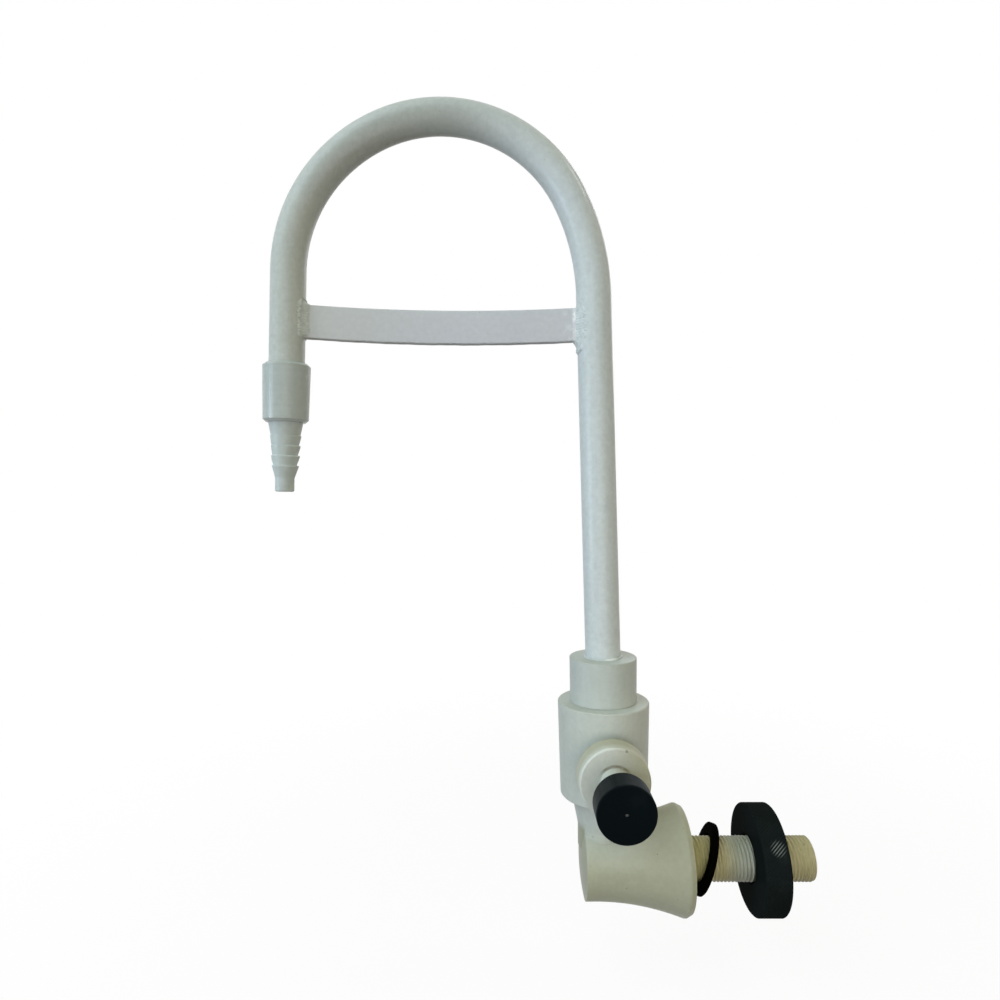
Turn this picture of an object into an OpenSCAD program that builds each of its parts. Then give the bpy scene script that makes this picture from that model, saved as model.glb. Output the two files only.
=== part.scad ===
// Laboratory gooseneck tap: wall body, knob valve, swivelling spout with a brace and a hose nozzle.
// Frame in mm: origin on the shank's axis in the wall face, X into the wall, Z up, knob towards -Y.

/* [Wall body] */
// Distance from the wall face to the column's axis
column_offset = 40; // [36:0.5:55]
// Diameter of the wall body at its rounded end
wall_body_d = 37.5; // [34:0.5:40]
// Length of the wall body past the column's axis
wall_body_end = 10.4; // [10:0.2:16]
// Rise of the rounded end
end_rise = 1.9; // [1:0.1:5]
// Straight length before the flare starts
flare_start = 1.6; // [0.6:0.2:6]
// Radius of the flare's curve
flare_r = 128; // [110:1:140]
// Diameter of the flange
flange_d = 51.6; // [46:0.2:54]
// Bevel on the flange's back edge
flange_bevel = 1.2; // [0.5:0.1:2]

/* [Inlet shank] */
// Outside diameter of the shank's thread, G 1/2
shank_d = 20.9; // [18:0.1:22]
// Length of the shank past the wall face
shank_len = 62.5; // [55:0.5:90]
// Diameter of the water bore
shank_bore_d = 13; // [8:0.5:14]
// Depth of the shank in the wall body
shank_socket = 18; // [14:0.5:20]

/* [Washer and back nut] */
// Diameter of the rubber washer
washer_d = 35; // [32:0.2:40]
// Thickness of the rubber washer
washer_t = 2.9; // [2:0.1:3.5]
// Place of the washer's middle on the shank
washer_at = 10.5; // [9.5:0.1:12]
// Lean of the washer towards the outlet
washer_lean = 17.8; // [0:0.1:18]
// Turn of the washer towards the knob
washer_turn = 7.9; // [0:0.1:9]
// Diameter of the back nut
nut_d = 51.8; // [44:0.2:60]
// Thickness of the back nut
nut_t = 12.5; // [8:0.5:14]
// Place of the back nut's near face on the shank
nut_at = 32; // [31.5:0.5:36]
// Bevel on the back nut's edges
nut_bevel = 0.6; // [0.4:0.1:2]

/* [Column] */
// Height of the column's underside above the shank's axis
column_z = 34.2; // [32:0.1:36]
// Height of the column
column_h = 46.3; // [44:0.1:52]
// Diameter of the column at its foot
column_foot_d = 43.2; // [42:0.2:48]
// Diameter of the column at its top
column_top_d = 45.4; // [42:0.2:50]
// Diameter of the neck where it leaves the wall body
neck_foot_d = 26; // [25:0.5:30]
// Diameter of the neck under the column
neck_top_d = 32.4; // [31:0.2:38]

/* [Headwork] */
// Height of the knob's axis above the shank's axis
knob_z = 54.7; // [54:0.1:55.4]
// Reach of the boss from the column's axis
boss_reach = 29; // [28:0.2:31]
// Diameter of the boss
boss_d = 27; // [26.4:0.2:30]
// Diameter of the bonnet's head at the boss
bonnet_root_d = 33.6; // [32:0.2:36]
// Diameter of the bonnet's head at its face
bonnet_face_d = 32.1; // [30:0.2:35]
// Thickness of the bonnet's head
bonnet_head = 9.8; // [9:0.2:11]
// Diameter of the bonnet's stem tube
gland_d = 14; // [12.5:0.5:15]
// Length of the bonnet's stem tube
gland_len = 12.5; // [11:0.5:14]
// Valve lift from closed to open
valve_lift = 4; // [3:0.1:4]
// Diameter of the seat's opening
seat_bore_d = 9; // [7.6:0.1:9.4]

/* [Knob] */
// Diameter of the knob
knob_d = 25; // [20:0.2:28]
// Length of the knob
knob_len = 12.3; // [10:0.1:18]
// Place of the knob's back, from the column's axis
knob_back = 55.8; // [55:0.2:58]

/* [Spout] */
// Height of the collar's top above the shank's axis
collar_top_z = 102.4; // [99:0.2:108]
// Diameter of the collar at its top
collar_top_d = 33.4; // [31:0.2:36]
// Diameter of the collar at its foot
collar_foot_d = 33; // [31:0.2:36]
// Diameter of the spout pipe
pipe_d = 17.5; // [16:0.1:18]
// Wall of the spout pipe
pipe_wall = 2; // [1.5:0.1:2.5]
// Lean of the inlet leg towards the outlet, in degrees
inlet_lean = 1.15; // [0:0.05:3]
// Lean of the outlet leg, in degrees
outlet_lean = 1.7; // [0:0.05:3]
// Length of the inlet leg above the collar
inlet_leg = 180.6; // [170:0.2:260]
// Radius of the bend's first part, which eases out of the inlet leg
rise_r = 115; // [80:1:140]
// Angle of the bend's first part, in degrees
rise_angle = 25.5; // [10:0.5:40]
// Radius of the bend's top
bend_r = 72.2; // [65:0.1:95]
// Radius of the bend's last part, towards the outlet leg
fall_r = 78; // [65:0.5:100]
// Angle of the bend's last part, in degrees
fall_angle = 65; // [20:0.5:80]
// Length of the outlet leg, from the bend to the nozzle socket
outlet_leg = 46.6; // [44:0.2:80]

/* [Brace] */
// Height of the brace
brace_h = 16.4; // [10:0.2:20]
// Thickness of the brace
brace_t = 5; // [3:0.5:8]
// Drop of the brace's middle below the bend, at the inlet leg
brace_inlet_drop = 14.6; // [14:0.1:34]
// Drop of the brace's middle below the bend, at the outlet leg
brace_outlet_drop = 25; // [18:0.1:29]
// Sag of the brace's middle
brace_sag = 2.8; // [1:0.1:8]

/* [Nozzle] */
// Diameter of the nozzle socket at its top
socket_top_d = 23.4; // [23:0.1:28]
// Diameter of the nozzle socket at its foot
socket_foot_d = 22.3; // [22:0.1:28]
// Length of the nozzle socket
socket_len = 29.5; // [29:0.5:38]
// Number of barbs
barbs = 4; // [3:1:5]
// Spacing of the barbs
barb_pitch = 5; // [4.5:0.1:6]
// Diameter of the first barb
barb_first_d = 15.4; // [14.6:0.1:16]
// Step in diameter from barb to barb
barb_step = 0.8; // [0.4:0.1:0.9]
// Diameter of the nozzle's tip
tip_d = 9.3; // [9:0.1:10]
// Length of the nozzle's plain tip
tip_len = 6.8; // [5:0.1:12]
// Diameter of the nozzle's water bore
nozzle_bore_d = 5.6; // [4:0.1:6]

/* [Hidden] */
$fn = 96;
e = 0.1;
// Clearance of glued pieces, running fits, pieces that only pass, and the collar's face on the column
fit = 0.05;
run = 0.06;
pass = 0.3;
turn_gap = 0.1;
shank_r = shank_d / 2;
column_top = column_z + column_h;
// Wall body: end rim, start of the flare and its angle there, radius of the rounded end
rim_x = -column_offset - wall_body_end;
flare_x = rim_x + flare_start;
flare_lead = 1.5;
end_r = (pow(wall_body_d / 2, 2) + pow(end_rise, 2)) / (2 * end_rise);
// Roots of the neck and the boss inside their bodies
neck_root = 8;
boss_root = 12;
// Water's way, riser nipple between the neck and the column, and its ring
waterway_r = 6;
nipple_r = 8;
nipple_bore_r = 5.5;
nipple_sink = 9.5;
nipple_rise = 5.5;
nipple_low = column_z - nipple_sink;
nipple_high = column_z + nipple_rise;
riser_ring_r = 11.7;
riser_ring_t = 1.9;
// Bevels of the shank and lead-in of the nut
shank_root_bevel = 0.6;
shank_end_bevel = 0.6;
nut_lead = 1.2;
// Rounded edges of the column, the collar and the knob
column_round = 1;
foot_round = 0.6;
collar_round = 0.6;
knob_round = 0.8;
knob_back_round = 0.5;
// Washer hole that clears the shank at the washer's tilt
tilt = acos(cos(washer_lean) * cos(washer_turn));
washer_play = 0.15;
washer_hole_r = shank_r / cos(tilt) + washer_t / 2 * tan(tilt) + washer_play;
// Headwork, measured along the knob's axis from the column's axis
seat_face = 2;
seat_r = 6.5;
seat_flange_r = 7.8;
seat_flange_t = 0.8;
seat_root = -2.8;
seat_pocket = -9;
inlet_way_r = 6;
inlet_way_y = 9;
outlet_way_r = 5;
outlet_way_y = 10;
chamber_r = 8.6;
bonnet_in = 20;
bonnet_r = 11;
bonnet_edge = 0.7;
gasket_w = 1.5;
gasket_t = 0.9;
bonnet_out = boss_reach + bonnet_head;
gland_out = bonnet_out + gland_len;
gland_bevel = 0.6;
stem_r = 4.5;
stem_groove_r = 2.7;
stem_groove_w = 2.1;
stem_groove_gap = 1.4;
stem_groove_step = 3.6;
stem_ring_t = 1.8;
stem_grooves = [for (i = [0, 1]) bonnet_out + stem_groove_gap + i * stem_groove_step];
thread_r = 5;
thread_relief = 2.5;
thread_top = bonnet_out - thread_relief - valve_lift;
stop_r = 6.4;
stop_gap = 0.4;
drive = 6;
drive_end = 2;
pip_r = 0.7;
pip_sink = 0.5;
knob_wall = 1.8;
knob_hub_r = 6.5;
knob_hollow = 3;
lip_h = 1.4;
lip_foot_r = 6.2;
lip_top_r = 5.6;
seat_lip = seat_face + lip_h;
washer_face = seat_lip + 0.1;
disc_r = 7;
disc_t = 2.4;
plate_r = 7.2;
plate_t = 2.8;
plate_face = washer_face + disc_t;
plate_back = plate_face + plate_t;
jumper_stem_r = 3;
jumper_stem_gap = 3;
stud_r = 1.9;
stud_end = 0.6;
stud_nut_r = 3.46;
stud_nut_end = 1;
// Swivel
swivel_r = 12;
swivel_depth = 13.7;
swivel_floor = column_top - swivel_depth;
spigot_foot = swivel_floor + 0.5;
spigot_bore_r = 6.3;
collar_foot = column_top + turn_gap;
clip_sink = 3;
clip_z = swivel_floor + clip_sink;
clip_t = 1.6;
clip_w = 1.1;
ring_groove_r = 9.5;
ring_groove_w = 2.7;
ring_groove_low = 6.4;
ring_groove_step = 3.6;
ring_t = 2.44;
ring_grooves = [for (i = [0, 1]) swivel_floor + ring_groove_low + i * ring_groove_step];
// Spout pipe: end of the inlet leg, headings between the bend's parts, end of the bend
pipe_r = pipe_d / 2;
pipe_bore_r = pipe_r - pipe_wall;
pipe_foot = 15.5;
bend_draw = 0.05;
bend_lap = 0.3;
lap_angle = 0.25;
leg_x = -column_offset - inlet_leg * sin(inlet_lean);
leg_z = collar_top_z + inlet_leg * cos(inlet_lean);
heads = [inlet_lean, inlet_lean + rise_angle, 180 - outlet_lean - fall_angle, 180 - outlet_lean];
radii = [rise_r, bend_r, fall_r];
bend_steps = [for (i = [0:2])
    radii[i] * [cos(heads[i + 1]) - cos(heads[i]), sin(heads[i + 1]) - sin(heads[i])]];
out_x = leg_x + bend_steps[0][0] + bend_steps[1][0] + bend_steps[2][0];
out_z = leg_z + bend_steps[0][1] + bend_steps[1][1] + bend_steps[2][1];
// Nozzle socket, measured down the outlet leg from the end of the bend
pipe_sink = 13.8;
pipe_end = outlet_leg + pipe_sink;
socket_end = outlet_leg + socket_len;
socket_bevel = 1.6;
socket_edge = 1.4;
socket_way_r = 5;
nozzle_r = 8.3;
nozzle_sink = 18.5;
nozzle_top = outlet_leg + nozzle_sink;
seal_t = 1.5;
seal_bore_r = 4.6;
barb_neck = 6.6;
barb_depth = 1.15;
first_barb = socket_end + barb_neck;
tip_start = first_barb + barbs * barb_pitch + 1.2;
tip_end = tip_start + tip_len;
tip_bevel = 0.5;
// Brace, from leg axis to leg axis
brace_inlet_z = leg_z - brace_inlet_drop;
brace_outlet_z = out_z - brace_outlet_drop;
brace_x1 = -column_offset - (brace_inlet_z - collar_top_z) * tan(inlet_lean);
brace_x2 = out_x - (out_z - brace_outlet_z) * tan(outlet_lean);
brace_chord = norm([brace_x1 - brace_x2, brace_inlet_z - brace_outlet_z]);
brace_tilt = atan2(brace_inlet_z - brace_outlet_z, brace_x1 - brace_x2);
brace_r = pow(brace_chord, 2) / (8 * brace_sag) + brace_sag / 2;
// Weld beads at the brace's ends and at the pipe's foot
bead_root = 5;
bead_w = 3.5;
bead_reach = 2.2;
bead_end = 0.4;
foot_bead_h = 1.5;

natural = [0.72, 0.76, 0.72];
yellowed = [0.66, 0.63, 0.46];
white = [0.86, 0.87, 0.84];
black = [0.09, 0.1, 0.11];
rubber = [0.05, 0.05, 0.05];

// Turns a shape that stands on Z so that it lies along X, into the wall
module along_x() {
    rotate([0, 90, 0]) children();
}

// Turns a shape that stands on Z so that it points out of the boss
module along_knob() {
    translate([-column_offset, 0, knob_z]) rotate([90, 0, 0]) children();
}

// Stands a shape on the column's axis
module on_column() {
    translate([-column_offset, 0, 0]) children();
}

// Places a shape on the inlet leg, with Z = 0 at the collar's top
module on_inlet_leg() {
    translate([-column_offset, 0, collar_top_z]) rotate([0, -inlet_lean, 0]) children();
}

// Places a shape on the outlet leg, with Z running down from the end of the bend
module on_outlet_leg() {
    translate([out_x, 0, out_z]) rotate([0, 180 + outlet_lean, 0]) children();
}

// Cylinder from one height to another
module rod(r, low, high) {
    translate([0, 0, low]) cylinder(r = r, h = high - low);
}

// Tube from one height to another
module tube(r, bore, low, high) {
    difference() {
        rod(r, low, high);
        rod(bore, low - e, high + e);
    }
}

// Cone from one height to another
module taper(r1, r2, low, high) {
    translate([0, 0, low]) cylinder(r1 = r1, r2 = r2, h = high - low);
}

// Rod with bevels at its ends
module bevelled(r, low, high, cut_low, cut_high) {
    rotate_extrude()
        polygon([[0, low], [r - cut_low, low], [r, low + cut_low], [r, high - cut_high],
            [r - cut_high, high], [0, high]]);
}

// Ring of round section
module o_ring(r, section) {
    rotate_extrude() translate([r, 0]) circle(r = section, $fn = 48);
}

// What a rounded edge takes away, with its centre at the origin
module edge_cut(r) {
    difference() {
        square([r + 0.5, r + 0.5]);
        circle(r = r);
    }
}

// Wall body: flared round body, neck for the column, sockets for the shank and the nipple
module flared_body() {
    along_x() rotate_extrude() difference() {
        intersection() {
            polygon([[0, rim_x - 2 * end_rise], [flange_d / 2, rim_x - 2 * end_rise],
                [flange_d / 2, -2 * flange_bevel], [flange_d / 2 - flange_bevel, 0], [0, 0]]);
            translate([0, rim_x - end_rise + end_r]) circle(r = end_r, $fn = 480);
        }
        translate([wall_body_d / 2, rim_x - 3 * end_rise])
            square([flange_d / 2, flare_start + 3 * end_rise + 1]);
        translate([wall_body_d / 2 + flare_r * cos(flare_lead), flare_x + flare_r * sin(flare_lead)])
            circle(r = flare_r, $fn = 720);
    }
}

module wall_body() {
    color(natural) difference() {
        union() {
            flared_body();
            on_column() taper(neck_foot_d / 2, neck_top_d / 2, wall_body_d / 2 - 0.5, column_z);
            on_column() rod(neck_foot_d / 2, neck_root, wall_body_d / 2);
        }
        along_x() rod(shank_r + fit, -shank_socket, e);
        along_x() rod(waterway_r, -column_offset, -shank_socket + e);
        on_column() sphere(r = waterway_r);
        on_column() rod(nipple_bore_r, 0, nipple_low + e);
        on_column() rod(nipple_r + fit, nipple_low, column_z + e);
        on_column() tube(riser_ring_r + 1.4, riser_ring_r - 1.4, column_z - riser_ring_t, column_z + e);
    }
}

// Inlet shank: bored tube with bevelled ends, its thread drawn as a plain wall
module inlet_shank() {
    color(yellowed) along_x() difference() {
        bevelled(shank_r, -shank_socket, shank_len, shank_root_bevel, shank_end_bevel);
        rod(shank_bore_d / 2, -shank_socket - e, shank_len + e);
    }
}

module shank_washer() {
    color(rubber) translate([washer_at, 0, 0]) rotate([0, washer_lean, -washer_turn]) along_x()
        tube(washer_d / 2, washer_hole_r, -washer_t / 2, washer_t / 2);
}

module back_nut() {
    color(black) along_x() difference() {
        bevelled(nut_d / 2, nut_at, nut_at + nut_t, nut_bevel, nut_bevel);
        rod(shank_r + run, nut_at - e, nut_at + nut_t + e);
        taper(shank_r + nut_lead, shank_r, nut_at - 0.01, nut_at + nut_lead);
        taper(shank_r, shank_r + nut_lead, nut_at + nut_t - nut_lead, nut_at + nut_t + 0.01);
    }
}

module riser_nipple() {
    color(white) on_column() tube(nipple_r, nipple_bore_r, nipple_low, nipple_high);
}

module riser_o_ring() {
    color(rubber) on_column() translate([0, 0, column_z - riser_ring_t / 2])
        o_ring(riser_ring_r, riser_ring_t / 2 - 0.02);
}

// Valve body: column and boss, with the water's way through them
module column_shape() {
    on_column() rotate_extrude() difference() {
        polygon([[0, column_z], [column_foot_d / 2, column_z], [column_top_d / 2, column_top],
            [0, column_top]]);
        translate([column_top_d / 2 - column_round, column_top - column_round]) edge_cut(column_round);
        translate([column_foot_d / 2 - foot_round, column_z + foot_round]) mirror([0, 1])
            edge_cut(foot_round);
    }
    along_knob() rod(boss_d / 2, boss_root, boss_reach);
}

module valve_body() {
    color(natural) difference() {
        column_shape();
        // Inlet from below and the pocket behind the seat
        on_column() rod(nipple_r + fit, column_z - e, nipple_high);
        on_column() rod(nipple_bore_r, nipple_high - e, nipple_high + 4);
        on_column() translate([0, inlet_way_y, 0]) rod(inlet_way_r, nipple_high, knob_z + seat_r + 0.5);
        // Seat, chamber and the bonnet's socket
        along_knob() rod(seat_r + fit, seat_pocket, seat_face + e);
        along_knob() rod(chamber_r, seat_face, bonnet_in);
        along_knob() rod(bonnet_r + fit, bonnet_in - e, boss_reach + e);
        along_knob() rod(bonnet_r + gasket_w + 0.1, boss_reach - gasket_t, boss_reach + e);
        // Outlet to the swivel
        on_column() translate([0, -outlet_way_y, 0]) rod(outlet_way_r, knob_z, swivel_floor + e);
        on_column() rod(swivel_r, swivel_floor, column_top + e);
        on_column() rod(swivel_r + clip_w, clip_z, clip_z + clip_t);
    }
}

module valve_seat() {
    color(white) along_knob() difference() {
        union() {
            rod(seat_r, seat_root, seat_face + e);
            rod(seat_flange_r, seat_face, seat_face + seat_flange_t);
            taper(lip_foot_r, lip_top_r, seat_face + seat_flange_t - e, seat_lip);
        }
        rod(seat_bore_d / 2, seat_root - e, seat_lip + e);
    }
}

// Bonnet: screwed plug with a round head on the boss and a tube for the stem
module bonnet() {
    color(natural) along_knob() difference() {
        union() {
            rod(bonnet_r, bonnet_in, boss_reach + e);
            rotate_extrude() polygon([[0, boss_reach], [bonnet_root_d / 2, boss_reach],
                [bonnet_face_d / 2, bonnet_out - bonnet_edge],
                [bonnet_face_d / 2 - bonnet_edge, bonnet_out], [0, bonnet_out]]);
            bevelled(gland_d / 2, bonnet_out - e, gland_out, 0.05, gland_bevel);
        }
        rod(thread_r + run, bonnet_in - e, thread_top + valve_lift + stop_gap);
        rod(stem_r + run, bonnet_in - e, gland_out + e);
    }
}

module bonnet_gasket() {
    color(rubber) along_knob() tube(bonnet_r + gasket_w, bonnet_r + 0.2, boss_reach - gasket_t, boss_reach);
}

// Spindle: stop collar round the jumper's stem, thread, sealed stem, square drive and pip
module spindle() {
    color(white) along_knob() difference() {
        union() {
            rod(stop_r, plate_back + pass, bonnet_in - valve_lift - stop_gap);
            rod(thread_r, bonnet_in - valve_lift - stop_gap - e, thread_top);
            rod(stem_r, thread_top - e, knob_back);
            translate([-drive / 2, -drive / 2, knob_back - e])
                cube([drive, drive, knob_len - drive_end]);
            rod(pip_r, knob_back + knob_len - drive_end - 2 * e, knob_back + knob_len - pip_sink);
        }
        rod(jumper_stem_r + run, plate_back, bonnet_in - jumper_stem_gap);
        for (at = stem_grooves)
            tube(stem_r + e, stem_groove_r, at, at + stem_groove_w);
    }
}

module spindle_o_rings() {
    color(rubber) for (at = stem_grooves)
        along_knob() translate([0, 0, at + stem_groove_w / 2])
            o_ring(stem_groove_r + stem_ring_t / 2 + 0.03, stem_ring_t / 2);
}

module knob() {
    color(black) along_knob() difference() {
        rotate_extrude() difference() {
            translate([0, knob_back]) square([knob_d / 2, knob_len]);
            translate([knob_d / 2 - knob_round, knob_back + knob_len - knob_round]) edge_cut(knob_round);
            translate([knob_d / 2 - knob_back_round, knob_back + knob_back_round]) mirror([0, 1])
                edge_cut(knob_back_round);
        }
        tube(knob_d / 2 - knob_wall, knob_hub_r, knob_back - e, knob_back + knob_hollow);
        translate([-drive / 2 - fit, -drive / 2 - fit, knob_back - e])
            cube([drive + 2 * fit, drive + 2 * fit, knob_len - drive_end + 2 * e]);
        rod(pip_r + e, knob_back + 1, knob_back + knob_len + e);
    }
}

// Jumper: plate that closes the seat, stem in the spindle, stud for the washer and its nut
module jumper() {
    color(white) along_knob() {
        rod(plate_r, plate_face, plate_back);
        rod(jumper_stem_r, plate_back - e, bonnet_in - jumper_stem_gap - 1);
        rod(stud_r, stud_end, plate_face + e);
    }
}

module jumper_washer() {
    color(rubber) along_knob() tube(disc_r, stud_r + fit, washer_face, plate_face);
}

module jumper_nut() {
    color(white) along_knob() difference() {
        translate([0, 0, stud_nut_end]) linear_extrude(washer_face - stud_nut_end)
            polygon([for (i = [0:5]) stud_nut_r * [cos(60 * i), sin(60 * i)]]);
        rod(stud_r + fit, 0, washer_face + e);
    }
}

// Spout socket: collar on the column with a spigot that turns inside it
module spout_socket() {
    color(natural) difference() {
        on_column() union() {
            rotate_extrude() difference() {
                polygon([[0, collar_foot], [collar_foot_d / 2, collar_foot],
                    [collar_top_d / 2, collar_top_z], [0, collar_top_z]]);
                translate([collar_top_d / 2 - collar_round, collar_top_z - collar_round])
                    edge_cut(collar_round);
            }
            rod(swivel_r - run, spigot_foot, collar_foot + e);
        }
        on_column() rod(spigot_bore_r, spigot_foot - e, collar_top_z - 4);
        on_inlet_leg() rod(pipe_r + fit, -pipe_foot, 5);
        for (at = ring_grooves)
            on_column() tube(swivel_r + e, ring_groove_r, at, at + ring_groove_w);
        on_column() tube(swivel_r + e, swivel_r - clip_w - fit, clip_z - 0.2, clip_z + clip_t + 0.2);
    }
}

module swivel_o_rings() {
    color(rubber) for (at = ring_grooves)
        on_column() translate([0, 0, at + ring_groove_w / 2])
            o_ring(ring_groove_r + ring_t / 2 + 0.02, ring_t / 2);
}

// Split clip that holds the spigot in the column
module swivel_clip() {
    color(white) on_column() difference() {
        tube(swivel_r + clip_w - fit, swivel_r - clip_w + fit, clip_z + 0.02, clip_z + clip_t - 0.02);
        translate([-2, swivel_r - 4, clip_z - 1]) cube([4, 8, 4]);
    }
}

// Part of the bend: starts at the origin along Z, turns towards -X, and laps into its neighbours
module arc(section, radius, angle, lap) {
    translate([-radius, 0, 0]) rotate([90, 0, 0]) rotate([0, 0, -lap])
        rotate_extrude(angle = angle + 2 * lap, $fn = 144)
            translate([radius, 0]) circle(r = section, $fn = 72);
}

// Places a shape at the end of a part of the bend
module after_arc(radius, angle) {
    translate([-radius, 0, 0]) rotate([0, -angle, 0]) translate([radius, 0, 0]) children();
}

// Spout pipe: two straight legs and a bend in three parts, drawn a little thinner towards its top
module pipe_run(r, draw, foot, end) {
    on_inlet_leg() {
        rod(r, -foot, inlet_leg + bend_lap);
        translate([0, 0, inlet_leg]) {
            arc(r - draw, rise_r, rise_angle, 0);
            after_arc(rise_r, rise_angle) {
                arc(r - 2 * draw, bend_r, heads[2] - heads[1], lap_angle);
                after_arc(bend_r, heads[2] - heads[1]) arc(r - draw, fall_r, fall_angle, 0);
            }
        }
    }
    on_outlet_leg() rod(r, -bend_lap, end);
}

module spout_pipe() {
    color(natural) difference() {
        pipe_run(pipe_r, bend_draw, pipe_foot - 0.2, pipe_end);
        pipe_run(pipe_bore_r, -bend_draw, pipe_foot + e, pipe_end + e);
    }
}

// Brace: flat bar, gently bowed, cut to the legs
module bowed_bar(h, t) {
    translate([(brace_x1 + brace_x2) / 2, 0, (brace_inlet_z + brace_outlet_z) / 2])
        rotate([0, -brace_tilt, 0]) rotate([90, 0, 0]) linear_extrude(t, center = true)
            intersection() {
                translate([0, brace_r - brace_sag]) difference() {
                    circle(r = brace_r + h / 2, $fn = 1440);
                    circle(r = brace_r - h / 2, $fn = 1440);
                }
                square([brace_chord, 4 * h], center = true);
            }
}

module leg_rods(r) {
    on_inlet_leg() rod(r, inlet_leg / 2, inlet_leg);
    on_outlet_leg() rod(r, 0, outlet_leg);
}

module brace_strap() {
    color(natural) difference() {
        bowed_bar(brace_h, brace_t);
        leg_rods(pipe_r);
    }
}

// Weld beads: round the brace's ends and round the pipe's foot
module end_bead(side) {
    x = side > 0 ? brace_x1 : brace_x2;
    z = side > 0 ? brace_inlet_z : brace_outlet_z;
    difference() {
        translate([x, 0, z]) rotate([0, -side * 4 - brace_tilt, 0]) hull() {
            translate([-side * bead_root, 0, 0])
                cube([1, brace_t + 2 * bead_w, brace_h + 2 * bead_w], center = true);
            translate([-side * (pipe_r + bead_reach), 0, 0])
                cube([bead_end, brace_t + 2 * bead_end, brace_h + 2 * bead_end], center = true);
        }
        bowed_bar(brace_h, brace_t);
        leg_rods(pipe_r);
    }
}

module weld_beads() {
    color(white) {
        end_bead(1);
        end_bead(-1);
        difference() {
            on_inlet_leg() difference() {
                taper(pipe_r + bead_reach, pipe_r + 0.1, -0.6, foot_bead_h);
                rod(pipe_r, -1, 2);
            }
            on_column() rod(collar_top_d, collar_top_z - 3, collar_top_z);
        }
    }
}

// Nozzle socket at the outlet: takes the pipe's end and the nozzle's root
module nozzle_socket() {
    color(natural) on_outlet_leg() difference() {
        rotate_extrude() polygon([[0, outlet_leg], [socket_top_d / 2 - socket_bevel, outlet_leg],
            [socket_top_d / 2, outlet_leg + socket_edge], [socket_foot_d / 2, socket_end - socket_edge],
            [socket_foot_d / 2 - socket_bevel, socket_end], [0, socket_end]]);
        rod(pipe_r + fit, outlet_leg - e, pipe_end + 0.2);
        rod(socket_way_r, pipe_end, socket_end);
        rod(nozzle_r + fit, nozzle_top - seal_t, socket_end + e);
    }
}

// Hose nozzle: barbs that grip upwards, a plain tip and a bore
module hose_nozzle() {
    crest = barb_first_d / 2;
    color(natural) on_outlet_leg() difference() {
        rotate_extrude() polygon(concat(
            [[0, nozzle_top], [nozzle_r, nozzle_top], [nozzle_r, socket_end + 0.6],
                [crest - 0.5, first_barb - 0.3]],
            [for (i = [0:barbs - 1])
                let (r = crest - i * barb_step / 2, z = first_barb + i * barb_pitch)
                each [[r, z], [r, z + 0.4],
                    i < barbs - 1 ? [r - barb_depth, z + barb_pitch - 0.3] : [tip_d / 2, tip_start]]],
            [[tip_d / 2, tip_end - tip_bevel], [tip_d / 2 - tip_bevel, tip_end], [0, tip_end]]));
        rod(nozzle_bore_d / 2, nozzle_top - e, tip_end + e);
        taper(nozzle_bore_d / 2, nozzle_bore_d / 2 + 0.6, tip_end - 0.6, tip_end + 0.01);
    }
}

module nozzle_seal() {
    color(rubber) on_outlet_leg() tube(nozzle_r, seal_bore_r, nozzle_top - seal_t, nozzle_top);
}

wall_body();
inlet_shank();
shank_washer();
back_nut();
riser_nipple();
riser_o_ring();
valve_body();
valve_seat();
bonnet();
bonnet_gasket();
spindle();
spindle_o_rings();
knob();
jumper();
jumper_washer();
jumper_nut();
spout_socket();
swivel_o_rings();
swivel_clip();
spout_pipe();
brace_strap();
weld_beads();
nozzle_socket();
hose_nozzle();
nozzle_seal();
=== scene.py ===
"""Looks of a laboratory gooseneck tap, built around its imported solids.

The frame is in metres: origin on the shank's axis in the wall face, X into the wall, Z up, and the
knob towards -Y. Sizes below are in millimetres, as a maker would write them. New pieces are numpy
surfaces on closed grids, and each finish is a node material on Object coordinates.
"""

import logging
import math
from dataclasses import dataclass, field
from enum import Enum
from typing import Any, Union

import bpy
import numpy as np
from mathutils import Matrix, Vector


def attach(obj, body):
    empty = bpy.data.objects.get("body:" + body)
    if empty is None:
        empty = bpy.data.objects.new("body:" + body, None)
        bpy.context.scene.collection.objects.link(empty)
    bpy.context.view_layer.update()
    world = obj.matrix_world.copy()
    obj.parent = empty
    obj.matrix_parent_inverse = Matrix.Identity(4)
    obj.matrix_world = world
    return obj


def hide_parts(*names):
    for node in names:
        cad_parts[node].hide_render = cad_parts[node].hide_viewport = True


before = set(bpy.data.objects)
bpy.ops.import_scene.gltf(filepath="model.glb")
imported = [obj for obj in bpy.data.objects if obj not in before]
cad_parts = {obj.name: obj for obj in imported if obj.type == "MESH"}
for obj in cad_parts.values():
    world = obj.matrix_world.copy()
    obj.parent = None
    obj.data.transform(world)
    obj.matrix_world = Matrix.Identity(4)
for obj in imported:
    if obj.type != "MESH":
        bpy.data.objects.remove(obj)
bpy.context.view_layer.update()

MM = 0.001
TURN = 2.0 * math.pi
log = logging.getLogger("tap")

Colour = tuple[float, float, float]
Place = tuple[float, float, float]
Number = Union["Value", float]
Material = bpy.types.Material
Piece = bpy.types.Object
Socket = bpy.types.NodeSocket

WHITE: Colour = (1.0, 1.0, 1.0)
# dark colour of specks of dirt, and of painted shade on rounded top edges
DIRT_AND_SHADE: Colour = (0.15, 0.14, 0.09)


class Body(Enum):
    """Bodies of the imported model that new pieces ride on."""

    TAP = "tap_body"
    SPOUT = "spout"
    NUT = "nut"
    WASHER = "washer"


class Slot(Enum):
    """Material slots of the record."""

    NATURAL = "natural_plastic"
    YELLOWED = "yellowed_plastic"
    WHITE = "white_plastic"
    BLACK = "black_plastic"
    RUBBER = "black_rubber"


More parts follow.
